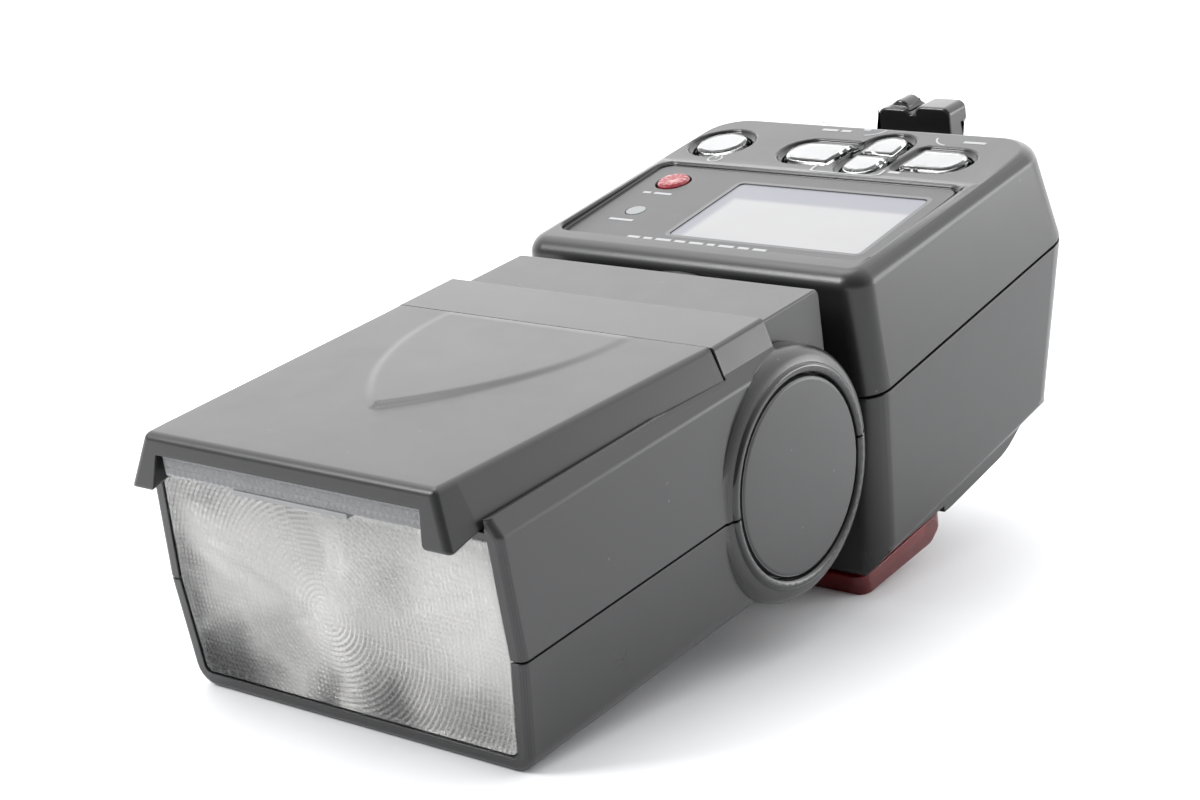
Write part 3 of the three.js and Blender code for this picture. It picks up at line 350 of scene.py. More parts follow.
LOOKS = {
    "shell_plastic": moulded_plastic("satin shell", 0.03, 0.36),
    "trim_plastic": moulded_plastic("dark trim", 0.018, 0.3),
    "panel_plastic": moulded_plastic("panel", 0.05, 0.45, polish=0.35, dust=0.004),
    "clear_plastic": simple("clear", (0.96, 0.97, 0.97), 0.06, transmission=1.0),
    "key_plastic": simple("key", (0.55, 0.56, 0.57), 0.18, transmission=0.35),
    "red_key_plastic": simple("red key", (0.33, 0.035, 0.045), 0.16, transmission=0.2),
    "lamp_plastic": simple("lamp", (0.2, 0.215, 0.215), 0.4),
    "red_window_plastic": simple("red window", (0.36, 0.004, 0.008), 0.1, transmission=0.75),
    "lcd_glass": screen_glass("display"),
    "mat_rubber": simple("rubber", (0.2, 0.2, 0.2), 0.8),
    "board_laminate": simple("board", (0.05, 0.18, 0.08), 0.5),
    "capacitor_can": simple("can", (0.06, 0.07, 0.09), 0.4),
    "winding_copper": simple("copper", (0.55, 0.3, 0.12), 0.4, metallic=1.0),
    "steel": simple("plated steel", (0.42, 0.42, 0.43), 0.34, metallic=1.0),
    "contact_brass": simple("brass", (0.8, 0.65, 0.3), 0.25, metallic=1.0),
    "reflector_metal": reflector_metal("reflector"),
    "tube_glass": simple("tube", (0.95, 0.92, 0.85), 0.05, transmission=1.0),
}
HEAD_LOOK = moulded_plastic("head shell", 0.022, 0.28)
BODY_LOOK = moulded_plastic("body shell", 0.014, 0.3, polish=0.12, dust=0.004)
LEVER_LOOK = moulded_plastic("lever", 0.01, 0.2, polish=0.12)
DARK_METAL = simple("darkened steel", (0.16, 0.16, 0.165), 0.4, metallic=1.0)
HOOD_LOOK = moulded_plastic("hood", 0.014, 0.32)
POLISHED = moulded_plastic("polished ring", 0.015, 0.08, polish=0.06, grain_depth=0.01)
LENS_LOOK = lens_plastic("lens")
LIP_LOOK = simple("prismatic lip", (0.36, 0.365, 0.375), 0.22, transmission=0.4)
SHEET_LOOK = simple("prismatic sheet", (0.6, 0.61, 0.625), 0.3, transmission=0.55)
CLEAR_CAP = simple("key cap", (0.97, 0.975, 0.98), 0.08, transmission=1.0, grain=0.4, depth=0.01)
INSERT = simple("key insert", (0.34, 0.345, 0.35), 0.5)
SEAL = simple("window seal", (0.12, 0.121, 0.125), 0.5)
DARK_INK = simple("dark ink", (0.06, 0.06, 0.065), 0.6)
INK = simple("pale ink", (0.36, 0.365, 0.375), 0.6)


# ---- CAD nodes that stay ------------------------------------------------------------------------------

FACE_WEIGHT = 50  # an even pull of large faces over small ones, in the shading of every piece
CAD_EDGE_ANGLE = 38  # degrees, above which a CAD edge is rounded
CAD_FLAT_ANGLE = 0.5  # degrees, below which two CAD faces count as one flat
CAD_WELD = 0.004  # millimetres


def soften(node, width):
    """Gives a CAD node rounded edges and even shading by modifiers, without moving its own points."""
    mesh = node.data
    normals = mesh.attributes.get("custom_normal")
    if normals:
        mesh.attributes.remove(normals)
    mesh.shade_smooth()
    weld = node.modifiers.new("weld", "WELD")
    weld.merge_threshold = CAD_WELD * MM
    merge = node.modifiers.new("merge_flats", "DECIMATE")
    merge.decimate_type = "DISSOLVE"
    merge.angle_limit = math.radians(CAD_FLAT_ANGLE)
    bevel = node.modifiers.new("edge", "BEVEL")
    bevel.width = width * MM
    bevel.segments = 3
    bevel.limit_method = "ANGLE"
    bevel.angle_limit = math.radians(CAD_EDGE_ANGLE)
    bevel.use_clamp_overlap = False
    bevel.harden_normals = False
    even = node.modifiers.new("even", "WEIGHTED_NORMAL")
    even.mode = "FACE_AREA"
    even.weight = FACE_WEIGHT
    even.keep_sharp = False


SLOT_OF = {part["node"]: part["material_slot"] for part in frame["record"]["subparts"]}
LOOK_OF = {
    "display_window": LOOKS["lcd_glass"],
    "head_top_shell": HEAD_LOOK,
    "head_bottom_shell": HEAD_LOOK,
    "rear_cover": BODY_LOOK,
    "front_shell": BODY_LOOK,
    "battery_door": BODY_LOOK,
    "lock_lever": LEVER_LOOK,
    "door_hinge_strip": DARK_METAL,
}
# How far each edge is rounded, in millimetres, by node or else by slot.
EDGE_WIDTH = {
    "lock_lever": 0.5,
    "head_top_shell": 0.12,
    "head_bottom_shell": 0.12,
    "front_shell": 0.15,
    "battery_door": 0.15,
    "shell_plastic": 0.35,
    "trim_plastic": 0.3,
    "panel_plastic": 0.2,
    "steel": 0.12,
}
OTHER_EDGE_WIDTH = 0.1

for name, node in frame["nodes"].items():
    node.data.materials.clear()
    node.data.materials.append(LOOK_OF.get(name, LOOKS[SLOT_OF[name]]))
    slot_width = EDGE_WIDTH.get(SLOT_OF[name], OTHER_EDGE_WIDTH)
    soften(node, EDGE_WIDTH.get(name, slot_width))


# ---- Pieces that are built here -----------------------------------------------------------------------

PIECE_WELD = 0.002  # millimetres, within which two points of a piece are one
PIECE_SLIVER = 0.001  # millimetres, below which an edge of a piece is dropped


def add_piece(name, points, faces, look, body, replaces=()):
    """Makes a piece from points in flash axes, with its body and the nodes it stands for."""
    mesh = bpy.data.meshes.new(name)
    mesh.from_pydata([FLASH_TO_ROW @ Vector(point) for point in points], [], faces)
    work = bmesh.new()
    work.from_mesh(mesh)
    bmesh.ops.remove_doubles(work, verts=work.verts, dist=PIECE_WELD * MM)
    bmesh.ops.dissolve_degenerate(work, edges=work.edges, dist=PIECE_SLIVER * MM)
    bmesh.ops.recalc_face_normals(work, faces=work.faces)
    work.to_mesh(mesh)
    work.free()
    mesh.materials.append(look)
    thing = bpy.data.objects.new(name, mesh)
    bpy.context.scene.collection.objects.link(thing)
    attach(thing, body)
    for node in replaces:
        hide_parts(node)
    return thing


def round_edges(thing, width, segments=2, angle=35, by_weight=False):
    """Rounds the edges above an angle in degrees, or by their bevel weights, to a width in millimetres."""
    bevel = thing.modifiers.new("edge", "BEVEL")
    bevel.width = width * MM
    bevel.segments = segments
    bevel.limit_method = "WEIGHT" if by_weight else "ANGLE"
    bevel.angle_limit = math.radians(angle)
    thing.data.shade_smooth()
    even = thing.modifiers.new("even", "WEIGHTED_NORMAL")
    even.weight = FACE_WEIGHT


def ring_faces(count, start):
    """Quads between two closed rows of count points, the first row from start and the second after it."""
    faces = []
    for i in range(count):
        j = (i + 1) % count
        faces.append((start + i, start + j, start + count + j, start + count + i))
    return faces


def middle_of(spots):
    """The mean of some flat points."""
    return sum(a for a, _ in spots) / len(spots), sum(b for _, b in spots) / len(spots)


def arc(cx, cy, radius, first, last, count=10):
    """Points along an arc between two angles in degrees."""
    points = []
    for i in range(count + 1):
        angle = math.radians(first + (last - first) * i / count)
        points.append((cx + radius * math.cos(angle), cy + radius * math.sin(angle)))
    return points


def steps(first, last, pitch):
    """Even steps from first to last, about a pitch apart."""
    count = max(1, round(abs(last - first) / pitch))
    return [first + (last - first) * i / count for i in range(count + 1)]


def smooth(value):
    """A smooth step from 0 to 1."""
    value = min(max(value, 0.0), 1.0)
    return value * value * (3 - 2 * value)


# The hood. Its relief is a plain raised pointed arch.

HOOD_REAR = -33.2
HOOD_BEND = -84.5  # where its fascia begins
HOOD_FRONT = -88.5
HOOD = {
    "wall": 1.8,
    "stations": [
        # y, half width at the top, half width below, top, lower edge
        (HOOD_REAR, 29.6, 31.45, 0.8, -4.1),
        (HOOD_BEND, 27.2, 30.0, 2.0, -4.7),
        (HOOD_FRONT, 26.9, 29.8, 2.1, -6.0),
    ],
    "lean": 2.0,  # of the front edge, from its top to its lowest point
    "fascia_low": -0.7,
    "ears_from": -84.6,
    "ear_inside": (24.5, 25.1),  # half the gap between the ears, above and below
}
# The arch: its tip and its foot along y, its half width and middle along x, its height, the width of its
# sloping sides, how fast it widens from its tip, and the share of its height that is gone at its foot.
ARCH = {
    "tip": -69.5,
    "foot": -33.9,
    "half": 18.2,
    "middle": -1.5,
    "height": 0.6,
    "slope": 2.0,
    "widening": 0.8,
    "fading": 0.75,
}
# Shares of the hood's half width that its section has points at, closest over the arch.
HOOD_COLUMNS = [-0.9] + steps(-0.78, 0.72, 0.018) + [0.88]
# And places along it that have sections, also closest over the arch.
HOOD_PLACES = [HOOD_REAR, -34.3] + steps(-34.8, -71.0, 0.5) + [-76.0, HOOD_BEND, -84.7, HOOD_FRONT]


def arch_relief(x, y):
    """The arch's height above the hood's top."""
    along = (y - ARCH["tip"]) / (ARCH["foot"] - ARCH["tip"])
    if not 0 < along < 1:
        return 0.0
    half = ARCH["half"] * math.sin(math.pi / 2 * along ** ARCH["widening"])
    inside = (half - abs(x - ARCH["middle"])) / ARCH["slope"]
    fade = 1 - ARCH["fading"] * smooth(along)
    return ARCH["height"] * fade * smooth(inside)


def hood_station(y):
    """The hood's measures at y, in the order of its stations."""
    rows = HOOD["stations"]
    near, far = (rows[0], rows[1]) if y > rows[1][0] else (rows[1], rows[2])
    share = (y - near[0]) / (far[0] - near[0])
    return [a + (b - a) * share for a, b in zip(near, far)]


def hood_row(y):
    """The hood's section at y: its outer points and then as many inner ones, both from left to right."""
    _, half_top, half_low, top, low = hood_station(y)
    wall = HOOD["wall"]
    ceiling = HOOD["fascia_low"]
    inside_top, inside_low = half_top - wall, half_low - wall
    if y < HOOD["ears_from"]:
        inside_top, inside_low = HOOD["ear_inside"]
    outer = [(-half_low, low), (-half_top, top)]
    inner = [(-inside_low, low), (-inside_top, ceiling)]
    for share in HOOD_COLUMNS:
        x = share * half_top
        outer.append((x, top + arch_relief(x, y)))
        inner.append((share * inside_top, ceiling))
    outer += [(half_top, top), (half_low, low)]
    inner += [(inside_top, ceiling), (inside_low, low)]
    lean = HOOD["lean"] if y == HOOD_FRONT else 0.0
    return [(x, y - lean * (top - z) / (top - low), z) for x, z in outer + inner]


def build_hood():
    rows = [hood_row(y) for y in HOOD_PLACES]
    count = len(rows[0]) // 2
    points = [point for row in rows for point in row]
    faces = []
    for i in range(len(rows) - 1):
        near, far = i * 2 * count, (i + 1) * 2 * count
        for side in (0, count):
            for j in range(side, side + count - 1):
                faces.append((near + j, near + j + 1, far + j + 1, far + j))
        for j in (0, count - 1):
            faces.append((near + j, near + count + j, far + count + j, far + j))
    for base in (0, (len(rows) - 1) * 2 * count):
        for j in range(base, base + count - 1):
            faces.append((j, j + 1, count + j + 1, count + j))
    hood = add_piece("hood", points, faces, HOOD_LOOK, "head", ["hood_panel"])
    weigh_hood_edges(hood)
    round_edges(hood, 1.9, 6, by_weight=True)


# How much of the hood's rounding each of its sharp edges gets.
HOOD_ROUNDING = {"ear": 0.8, "front top": 1.0, "front side": 0.75, "top side": 0.7, "other": 0.1}
HOOD_SHARP_ANGLE = 30
# An edge belongs to the hood's top above the first height, to an ear below the second, and to a side or
# the front within the reach of it.
HOOD_TOP_ABOVE = 0.8
HOOD_EAR_BELOW = -4.0
HOOD_EDGE_REACH = 0.2


def hood_edge_kind(ends):
    """Which of the hood's edges this is, from its two ends in flash axes."""
    top = all(end.z > HOOD_TOP_ABOVE for end in ends)
    front = all(end.y < HOOD_FRONT + HOOD_EDGE_REACH for end in ends)
    half_widths = [hood_station(max(end.y, HOOD_FRONT))[1] for end in ends]
    outer = all(abs(end.x) > half - HOOD_EDGE_REACH for end, half in zip(ends, half_widths))
    if all(end.y < HOOD["ears_from"] and end.z < HOOD_EAR_BELOW for end in ends):
        return "ear"
    if front and top:
        return "front top"
    if front and outer:
        return "front side"
    if top and outer:
        return "top side"
    return "other"


def weigh_hood_edges(hood):
    """Gives the hood's sharp edges their bevel weights."""
    work = bmesh.new()
    work.from_mesh(hood.data)
    weights = work.edges.layers.float.new("bevel_weight_edge")
    for edge in work.edges:
        if edge.is_manifold and edge.calc_face_angle() >= math.radians(HOOD_SHARP_ANGLE):
            ends = [ROW_TO_FLASH @ vertex.co for vertex in edge.verts]
            edge[weights] = HOOD_ROUNDING[hood_edge_kind(ends)]
    work.to_mesh(hood.data)
    work.free()


# Polished half rings around the pivot caps, one on each shell, with the shells' seam between them. The
# inner and outer radii are about the tilt axis, and the foot, base and top are places along it.

RING = {
    "inner": 15.34,
    "outer": 16.85,
    "foot": 33.3,
    "base": 33.7,
    "top": 34.42,
    "steps": 8,
    "spokes": 40,
}
SEAM_ANGLE = 0.6  # degrees from each half's end to the seam


def ring_section():
    """The ring's section, as distances along and from the tilt axis."""
    middle = (RING["inner"] + RING["outer"]) / 2
    half = (RING["outer"] - RING["inner"]) / 2
    rise = RING["top"] - RING["base"]
    section = [(RING["foot"], RING["outer"]), (RING["foot"], RING["inner"])]
    for i in range(RING["steps"] + 1):
        angle = math.pi * i / RING["steps"]
        section.append((RING["base"] + rise * math.sin(angle), middle - half * math.cos(angle)))
    return section


def build_half_ring(name, side, first):
    """Half a ring about the tilt axis, on one side of the head, from the angle where it begins."""
    axis = ROW_TO_FLASH @ Vector(JOINTS["tilt"]["pos_m"])
    section = ring_section()
    count = len(section)
    points, faces = [], []
    for i in range(RING["spokes"] + 1):
        angle = math.radians(first + SEAM_ANGLE + (180 - 2 * SEAM_ANGLE) * i / RING["spokes"])
        for out, away in section:
            point = (side * out, axis.y + away * math.cos(angle), axis.z + away * math.sin(angle))
            points.append(point)
    for i in range(RING["spokes"]):
        faces += ring_faces(count, i * count)
    faces.append(tuple(range(count))[::-1])
    faces.append(tuple(range(len(points) - count, len(points))))
    ring = add_piece(name, points, faces, POLISHED, "head")
    round_edges(ring, 0.08, angle=50)


def build_pivot_rings():
    for side, side_name in ((1, "right"), (-1, "left")):
        for first, shell_name in ((0, "upper"), (180, "lower")):
            build_half_ring("pivot_ring_" + side_name + "_" + shell_name, side, first)


# The lens: a plate whose front has saw-toothed rings around its middle, and a plain rim.

LENS = {
    "front": round(extent("fresnel_lens")[0].y, 1),
    "thick": 1.6,
    "rim": 0.7,
    "rim_depth": 0.05,
    "growth": 6,  # the radius at which the rings reach their full depth
}


FLAT_REACH = 0.05  # millimetres, within which a point is on a flat face
ON_LINE = 1e-6  # the share of an outline's side by which a ray may miss its ends
PARALLEL = 1e-9


def outline_of(node, axis, value, plane):
    """The convex outline of a node's flat face where axis is value, as points of the two plane axes."""
    spots = set()
    for corner in corners_of(node):
        if abs(corner[axis] - value) < FLAT_REACH:
            spots.add(tuple(round(corner[i], 3) for i in plane))
    middle = middle_of(spots)
    return sorted(spots, key=lambda spot: math.atan2(spot[1] - middle[1], spot[0] - middle[0]))


def reach(outline, middle, angle):
    """The distance from middle to a convex outline along an angle."""
    way = (math.cos(angle), math.sin(angle))
    best = math.inf
    for (ax, az), (bx, bz) in zip(outline, outline[1:] + outline[:1]):
        ex, ez = bx - ax, bz - az
        cross = way[0] * ez - way[1] * ex
        if abs(cross) < PARALLEL:
            continue
        run = ((ax - middle[0]) * ez - (az - middle[1]) * ex) / cross
        share = ((ax - middle[0]) * way[1] - (az - middle[1]) * way[0]) / cross
        if run > 0 and -ON_LINE <= share <= 1 + ON_LINE:
            best = min(best, run)
    return best


def ring_points(ring, angles, reaches):
    """One ring of the lens's front, each of its points held within the outline."""
    cx, cz = RINGS["middle"]
    radius = ring * RINGS["pitch"] / 2
    depth = RINGS["depth"] * (ring % 2) * smooth(radius / LENS["growth"])
    points = []
    for angle, limit in zip(angles, reaches):
        on_rings = radius < limit - LENS["rim"]
        y = LENS["front"] + (depth if on_rings else LENS["rim_depth"])
        away = min(radius, limit)
        points.append((cx + away * math.cos(angle), y, cz + away * math.sin(angle)))
    return points


def build_lens():
    outline = outline_of("fresnel_lens", 1, LENS["front"], (0, 2))
    cx, cz = RINGS["middle"]
    angles = [2 * math.pi * i / RINGS["spokes"] - math.pi for i in range(RINGS["spokes"])]
    angles += [math.atan2(z - cz, x - cx) for x, z in outline]
    angles = sorted(angles)
    reaches = [reach(outline, RINGS["middle"], angle) for angle in angles]
    ring_count = int(max(reaches) / (RINGS["pitch"] / 2)) + 2
    count = len(angles)
    points, faces = [], []
    for ring in range(ring_count):
        points += ring_points(ring + 1, angles, reaches)
        faces += ring_faces(count, ring * count)
    back = LENS["front"] + LENS["thick"]
    rear = len(points)
    points += [(x, back, z) for x, _, z in points[-count:]]
    points += [(cx, LENS["front"], cz), (cx, back, cz)]
    for i in range(count):
        j = (i + 1) % count
        faces += [(len(points) - 2, j, i), (len(points) - 1, rear + i, rear + j)]
    lens = add_piece("ringed_lens", points, faces, LENS_LOOK, "head", ["fresnel_lens"])
    lens.data.shade_flat()


# The wide panel: a clear sheet with a lip of pyramid facets and a pull tab.

SHEET = {"half": 24.0, "front": -88.38, "rear": -44.0, "low": -3.4, "high": -1.9}
LIP = {
    "half": 24.0,
    "front": -88.8,
    "rear": -86.6,
    "low": -3.9,
    "high": -0.3,
    "facet_height": 0.4,
    "columns": 44,
    "rows": 3,
}
TAB = {"half": 10.6, "front": -88.6, "rear": LIP["rear"], "low": -4.6, "high": LIP["low"]}


def add_facet(points, faces, x, z, wide, tall, base, tip):
    """A pyramid of four facets on a cell whose lower left corner is x, z."""
    start = len(points)
    points += [(x, base, z), (x + wide, base, z), (x + wide, base, z + tall), (x, base, z + tall)]
    points.append((x + wide / 2, tip, z + tall / 2))
    faces += [(start + i, start + (i + 1) % 4, start + 4) for i in range(4)]


def add_slab(points, faces, size, front):
    """A box that is even about the middle, between a front and the size's own rear, low and high."""
    start = len(points)
    for x in (-size["half"], size["half"]):
        for y in (front, size["rear"]):
            points += [(x, y, size["low"]), (x, y, size["high"])]
    quads = ((0, 1, 3, 2), (4, 6, 7, 5), (0, 4, 5, 1), (2, 3, 7, 6), (0, 2, 6, 4), (1, 5, 7, 3))
    faces += [tuple(start + i for i in quad) for quad in quads]


def build_wide_panel():
    points, faces = [], []
    add_slab(points, faces, SHEET, SHEET["front"])
    sheet = add_piece(
        "wide_panel_sheet", points, faces, SHEET_LOOK, "wide_panel", ["wide_panel"]
    )
    round_edges(sheet, 0.15)


def build_wide_panel_lip():
    points, faces = [], []
    base = LIP["front"] + LIP["facet_height"]
    add_slab(points, faces, LIP, base)
    add_slab(points, faces, TAB, TAB["front"])
    wide = 2 * LIP["half"] / LIP["columns"]
    tall = (LIP["high"] - LIP["low"]) / LIP["rows"]
    for row in range(LIP["rows"]):
        odd = row % 2
        for column in range(LIP["columns"] - odd):
            x = -LIP["half"] + wide / 2 * odd + column * wide
            add_facet(points, faces, x, LIP["low"] + row * tall, wide, tall, base, LIP["front"])
    lip = add_piece("wide_panel_lip", points, faces, LIP_LOOK, "wide_panel")
    lip.data.shade_flat()


# The keys: clear caps with chamfered edges over pale inserts.

KEYS = ("power_button", "mode_button", "plus_button", "minus_button", "zoom_button")
FACE_LEVEL = -1.3  # the display face at the flash's origin
FACE_RISE = 0.0908  # and its rise for each millimetre away from the head
OUTLINE_DEPTH = 1.0  # a key's outline is taken from its points above this depth below the face
# Each layer's height above the face and how far it is drawn in from the key's outline.
INSERT_LAYERS = [(-2.2, 0.25), (-1.0, 0.25), (-0.85, 0.4)]
CAP_LAYERS = [(-0.8, 0.0), (-0.2, 0.0), (0.14, 0.5)]
GLYPH = {"width": 0.5, "half": 0.85, "apart": 1.3, "inset": 1.5, "sunk": 0.1, "proud": 0.03}
# The low ridge along the far side of the display panel: where it begins and ends, and its slope.
RIDGE = {"near": 36.9, "far": 39.0, "slope": 0.2}


def face_height(y):
    """The display face's height at y."""
    return FACE_LEVEL + FACE_RISE * y


def cover_height(y):
    """The display face's height with its ridge."""
    ridge = RIDGE["slope"] * (RIDGE["far"] - y) if RIDGE["near"] < y < RIDGE["far"] else 0.0
    return face_height(y) + ridge


def drawn_in(outline, distance):
    """A convex outline with its points moved towards its middle by a distance."""
    cx, cy = middle_of(outline)
    moved = []
    for x, y in outline:
        away = math.hypot(x - cx, y - cy)
        share = max(0.0, (away - distance) / away)
        moved.append((cx + (x - cx) * share, cy + (y - cy) * share))
    return moved


def turn(a, b, c):
    """Above 0 if the path from a over b to c turns left."""
    return (b[0] - a[0]) * (c[1] - a[1]) - (b[1] - a[1]) * (c[0] - a[0])


def convex_hull(spots):
    """The convex outline of some flat points in sorted order."""
    def half(order):
        chain = []
        for spot in order:
            while len(chain) > 1 and turn(chain[-2], chain[-1], spot) <= 0:
                chain.pop()
            chain.append(spot)
        return chain[:-1]
    return half(spots) + half(spots[::-1])


def key_outline(node):
    """The outline of a CAD key, seen from above."""
    spots = set()
    for corner in corners_of(node):
        if corner.z > face_height(corner.y) - OUTLINE_DEPTH:
            spots.add((round(corner.x, 2), round(corner.y, 2)))
    return convex_hull(sorted(spots))


def layered(name, outline, layers, look, body, replaces=()):
    """A closed body of stacked outlines above the display face."""
    count = len(outline)
    points, faces = [], []
    for height, inwards in layers:
        points += [(x, y, face_height(y) + height) for x, y in drawn_in(outline, inwards)]
    for layer in range(len(layers) - 1):
        faces += ring_faces(count, layer * count)
    faces.append(tuple(range(count))[::-1])
    faces.append(tuple(range((len(layers) - 1) * count, len(layers) * count)))
    return add_piece(name, points, faces, look, body, replaces)


def add_ribbon(points, faces, path, width, low, high):
    """A flat bar of a width along a path on the display face, between two heights above it."""
    start = len(points)
    for i, (x, y) in enumerate(path):
        ax, ay = path[max(i - 1, 0)]
        bx, by = path[min(i + 1, len(path) - 1)]
        length = math.hypot(bx - ax, by - ay)
        nx, ny = -(by - ay) / length * width / 2, (bx - ax) / length * width / 2
        for side, height in ((1, low), (-1, low), (-1, high), (1, high)):
            px, py = x + side * nx, y + side * ny
            points.append((px, py, cover_height(py) + height))
    for i in range(len(path) - 1):
        faces += ring_faces(4, start + 4 * i)
    faces.append(tuple(range(start, start + 4)))
    faces.append(tuple(range(len(points) - 4, len(points)))[::-1])


def build_keys():
    for node in KEYS:
        outline = key_outline(node)
        insert = layered(node + "_insert", outline, INSERT_LAYERS, INSERT, node)
        round_edges(insert, 0.1, angle=20)
        cap = layered(node + "_cap", outline, CAP_LAYERS, CLEAR_CAP, node, [node])
        round_edges(cap, 0.14, angle=20)
        add_key_glyph(node, outline)


def add_key_glyph(node, outline):
    """Two plain bars near a key's lower edge, in place of its symbol."""
    cx = middle_of(outline)[0]
    y = min(spot[1] for spot in outline) + GLYPH["inset"]
    top = INSERT_LAYERS[-1][0]
    points, faces = [], []
    for x in (cx - GLYPH["apart"], cx + GLYPH["apart"]):
        path = [(x - GLYPH["half"], y), (x + GLYPH["half"], y)]
        add_ribbon(points, faces, path, GLYPH["width"], top - GLYPH["sunk"], top + GLYPH["proud"])
    add_piece(node + "_glyph", points, faces, DARK_INK, node)


def disc_of(node):
    """The middle and the radius of a round CAD node on the display face."""
    low, high = extent(node)
    return (low.x + high.x) / 2, (low.y + high.y) / 2, (high.x - low.x) / 2


# The ready lamp, a flat frosted disc. It is a little wider than its CAD node, so that it fills its hole.

LAMP_GROWTH = 0.22
LAMP_LAYERS = [(-1.6, 0.0), (-0.02, 0.0), (0.04, 0.18)]


def build_lamp():
    x, y, radius = disc_of("ready_lamp")
    outline = arc(x, y, radius + LAMP_GROWTH, 0, 360, 36)[:-1]
    look = LOOKS["lamp_plastic"]
    lamp = layered(
        "ready_lamp_disc", outline, LAMP_LAYERS, look, "control_unit", ["ready_lamp"]
    )
    round_edges(lamp, 0.05, angle=20)


# The test key: a clear red cap with a faceted crown.

TEST_FACETS = 24
TEST_DENTS = 0.09  # the depth of every second point on the crown's rings
TEST_CROWN = (2, 3)  # the rings that have dents
TEST_MIDDLE = 0.3  # the crown's height above the face at its middle


def build_test_key():
    x, y, radius = disc_of("test_button")
    # Each ring's radius and its height above the face.
    rings = [
        (radius, -1.9),
        (radius, 0.05),
        (radius - 0.35, 0.45),
        (radius * 0.62, 0.55),
        (radius * 0.3, 0.42),
    ]
    points, faces = [], []
    for ring, (away, height) in enumerate(rings):
        for i in range(TEST_FACETS):
            angle = 2 * math.pi * (i + 0.5 * (ring % 2)) / TEST_FACETS
            dent = TEST_DENTS * (i % 2) if ring in TEST_CROWN else 0.0
            px, py = x + away * math.cos(angle), y + away * math.sin(angle)
            points.append((px, py, face_height(py) + height - dent))
    for ring in range(len(rings) - 1):
        faces += ring_faces(TEST_FACETS, ring * TEST_FACETS)
    faces.append(tuple(range(TEST_FACETS))[::-1])
    last = len(points) - TEST_FACETS
    for i in range(TEST_FACETS):
        faces.append((last + i, last + (i + 1) % TEST_FACETS, len(points)))
    points.append((x, y, face_height(y) + TEST_MIDDLE))
    look = LOOKS["red_key_plastic"]
    add_piece("test_key", points, faces, look, "test_button", ["test_button"])


# A thin dark seal that closes the joint around the display window.

SEAL_SIZE = {"outwards": 0.35, "corner": 1.2, "width": 0.8, "low": -0.5, "high": 0.012}
SEAL_GAP = 2  # degrees that its last corner stops short by, so that its two ends stay apart


def build_window_seal():
    low, high = extent("display_window")
    corner = SEAL_SIZE["corner"]
    inwards = corner - SEAL_SIZE["outwards"]
    left, right = low.x + inwards, high.x - inwards
    near, far = low.y + inwards, high.y - inwards
    path = [
        (left, near - corner),
        (right, near - corner),
        *arc(right, near, corner, 270, 360, 6),
        *arc(right, far, corner, 0, 90, 6),
        *arc(left, far, corner, 90, 180, 6),
        *arc(left, near, corner, 180, 270 - SEAL_GAP, 6),
    ]
    points, faces = [], []
    add_ribbon(points, faces, path, SEAL_SIZE["width"], SEAL_SIZE["low"], SEAL_SIZE["high"])
    add_piece("window_seal", points, faces, SEAL, "control_unit")


# Plain printed marks: bars, arcs, a ring and a bracket line, none of them letters.

MARK_LOW = -0.02
MARK_HIGH = 0.03
BRACKET_HIGH = 0.06
THIN, MEDIUM, BOLD, BOLDEST = 0.34, 0.5, 0.7, 0.85


def bars(x, y, lengths, gap=0.7):
    """Short bars in a row from x, in place of a word."""
    paths = []
    for length in lengths:
        paths.append([(x, y), (x + length, y)])
        x += length + gap
    return paths


def add_marks(name, paths, width, high=MARK_HIGH):
    points, faces = [], []
    for path in paths:
        add_ribbon(points, faces, path, width, MARK_LOW, high)
    add_piece(name, points, faces, INK, "control_unit")


def add_key_marks():
    """A short arc beside each of three keys, and an open ring with a bar by the power key."""
    arcs = [
        arc(-12.2, 54.2, 4.6, 50, 118),
        arc(-0.2, 57.6, 3.2, 275, 350),
        arc(17.4, 56.0, 3.4, 190, 262),
        arc(-21.6, 40.2, 1.25, 115, 425, 16),
    ]
    add_marks("key_marks", arcs + [[(-21.6, 40.3), (-21.6, 42.1)]], THIN)


def add_bracket_mark():
    """A line below the middle keys, with its round corners turned up."""
    path = [
        (-0.9, 41.2),
        *arc(0.6, 39.4, 1.5, 180, 270, 5),
        (10.4, 37.9),
        *arc(10.9, 39.4, 1.5, 270, 360, 5),
        (12.4, 41.0),
    ]
    add_marks("bracket_mark", [path], MEDIUM, BRACKET_HIGH)


def build_marks():
    add_key_marks()
    add_bracket_mark()
    words = bars(-9.2, 55.6, (3.2, 2.0)) + bars(19.6, 54.4, (4.2,)) + bars(-1.4, 56.8, (1.4,))
    add_marks("key_bars", words + bars(13.4, 40.4, (2.2,)), BOLDEST)
    lines = bars(-25.6, 24.6, (1.6, 3.6)) + bars(-24.6, 13.6, (4.9,))
    lines += bars(-16.5, 7.95, (2.4, 1.7, 3.0, 2.1, 2.7, 1.5, 2.9, 2.1, 2.5), 0.8)
    add_marks("display_bars", lines, BOLD)


build_hood()
build_pivot_rings()
build_lens()
build_wide_panel()
build_wide_panel_lip()
build_keys()
build_lamp()
build_test_key()
build_window_seal()
build_marks()


# ---- Camera, lights and floor, in the frame's metres --------------------------------------------------

# The angles are in degrees about the target, the distance in metres and the lens in millimetres.
CAMERA = {
    "azimuth": 39.006,
    "elevation": 13.803,
    "roll": -1.808,
    "distance": 0.4285,
    "lens": 74.2,
    "sensor": 36,
    "near_clip": 0.01,
}
TARGET = Vector((-0.03209, 0.02389, 0.02191))
FLOOR_HALF = 4.0
FLOOR_COLOUR = (0.84, 0.845, 0.86, 1)
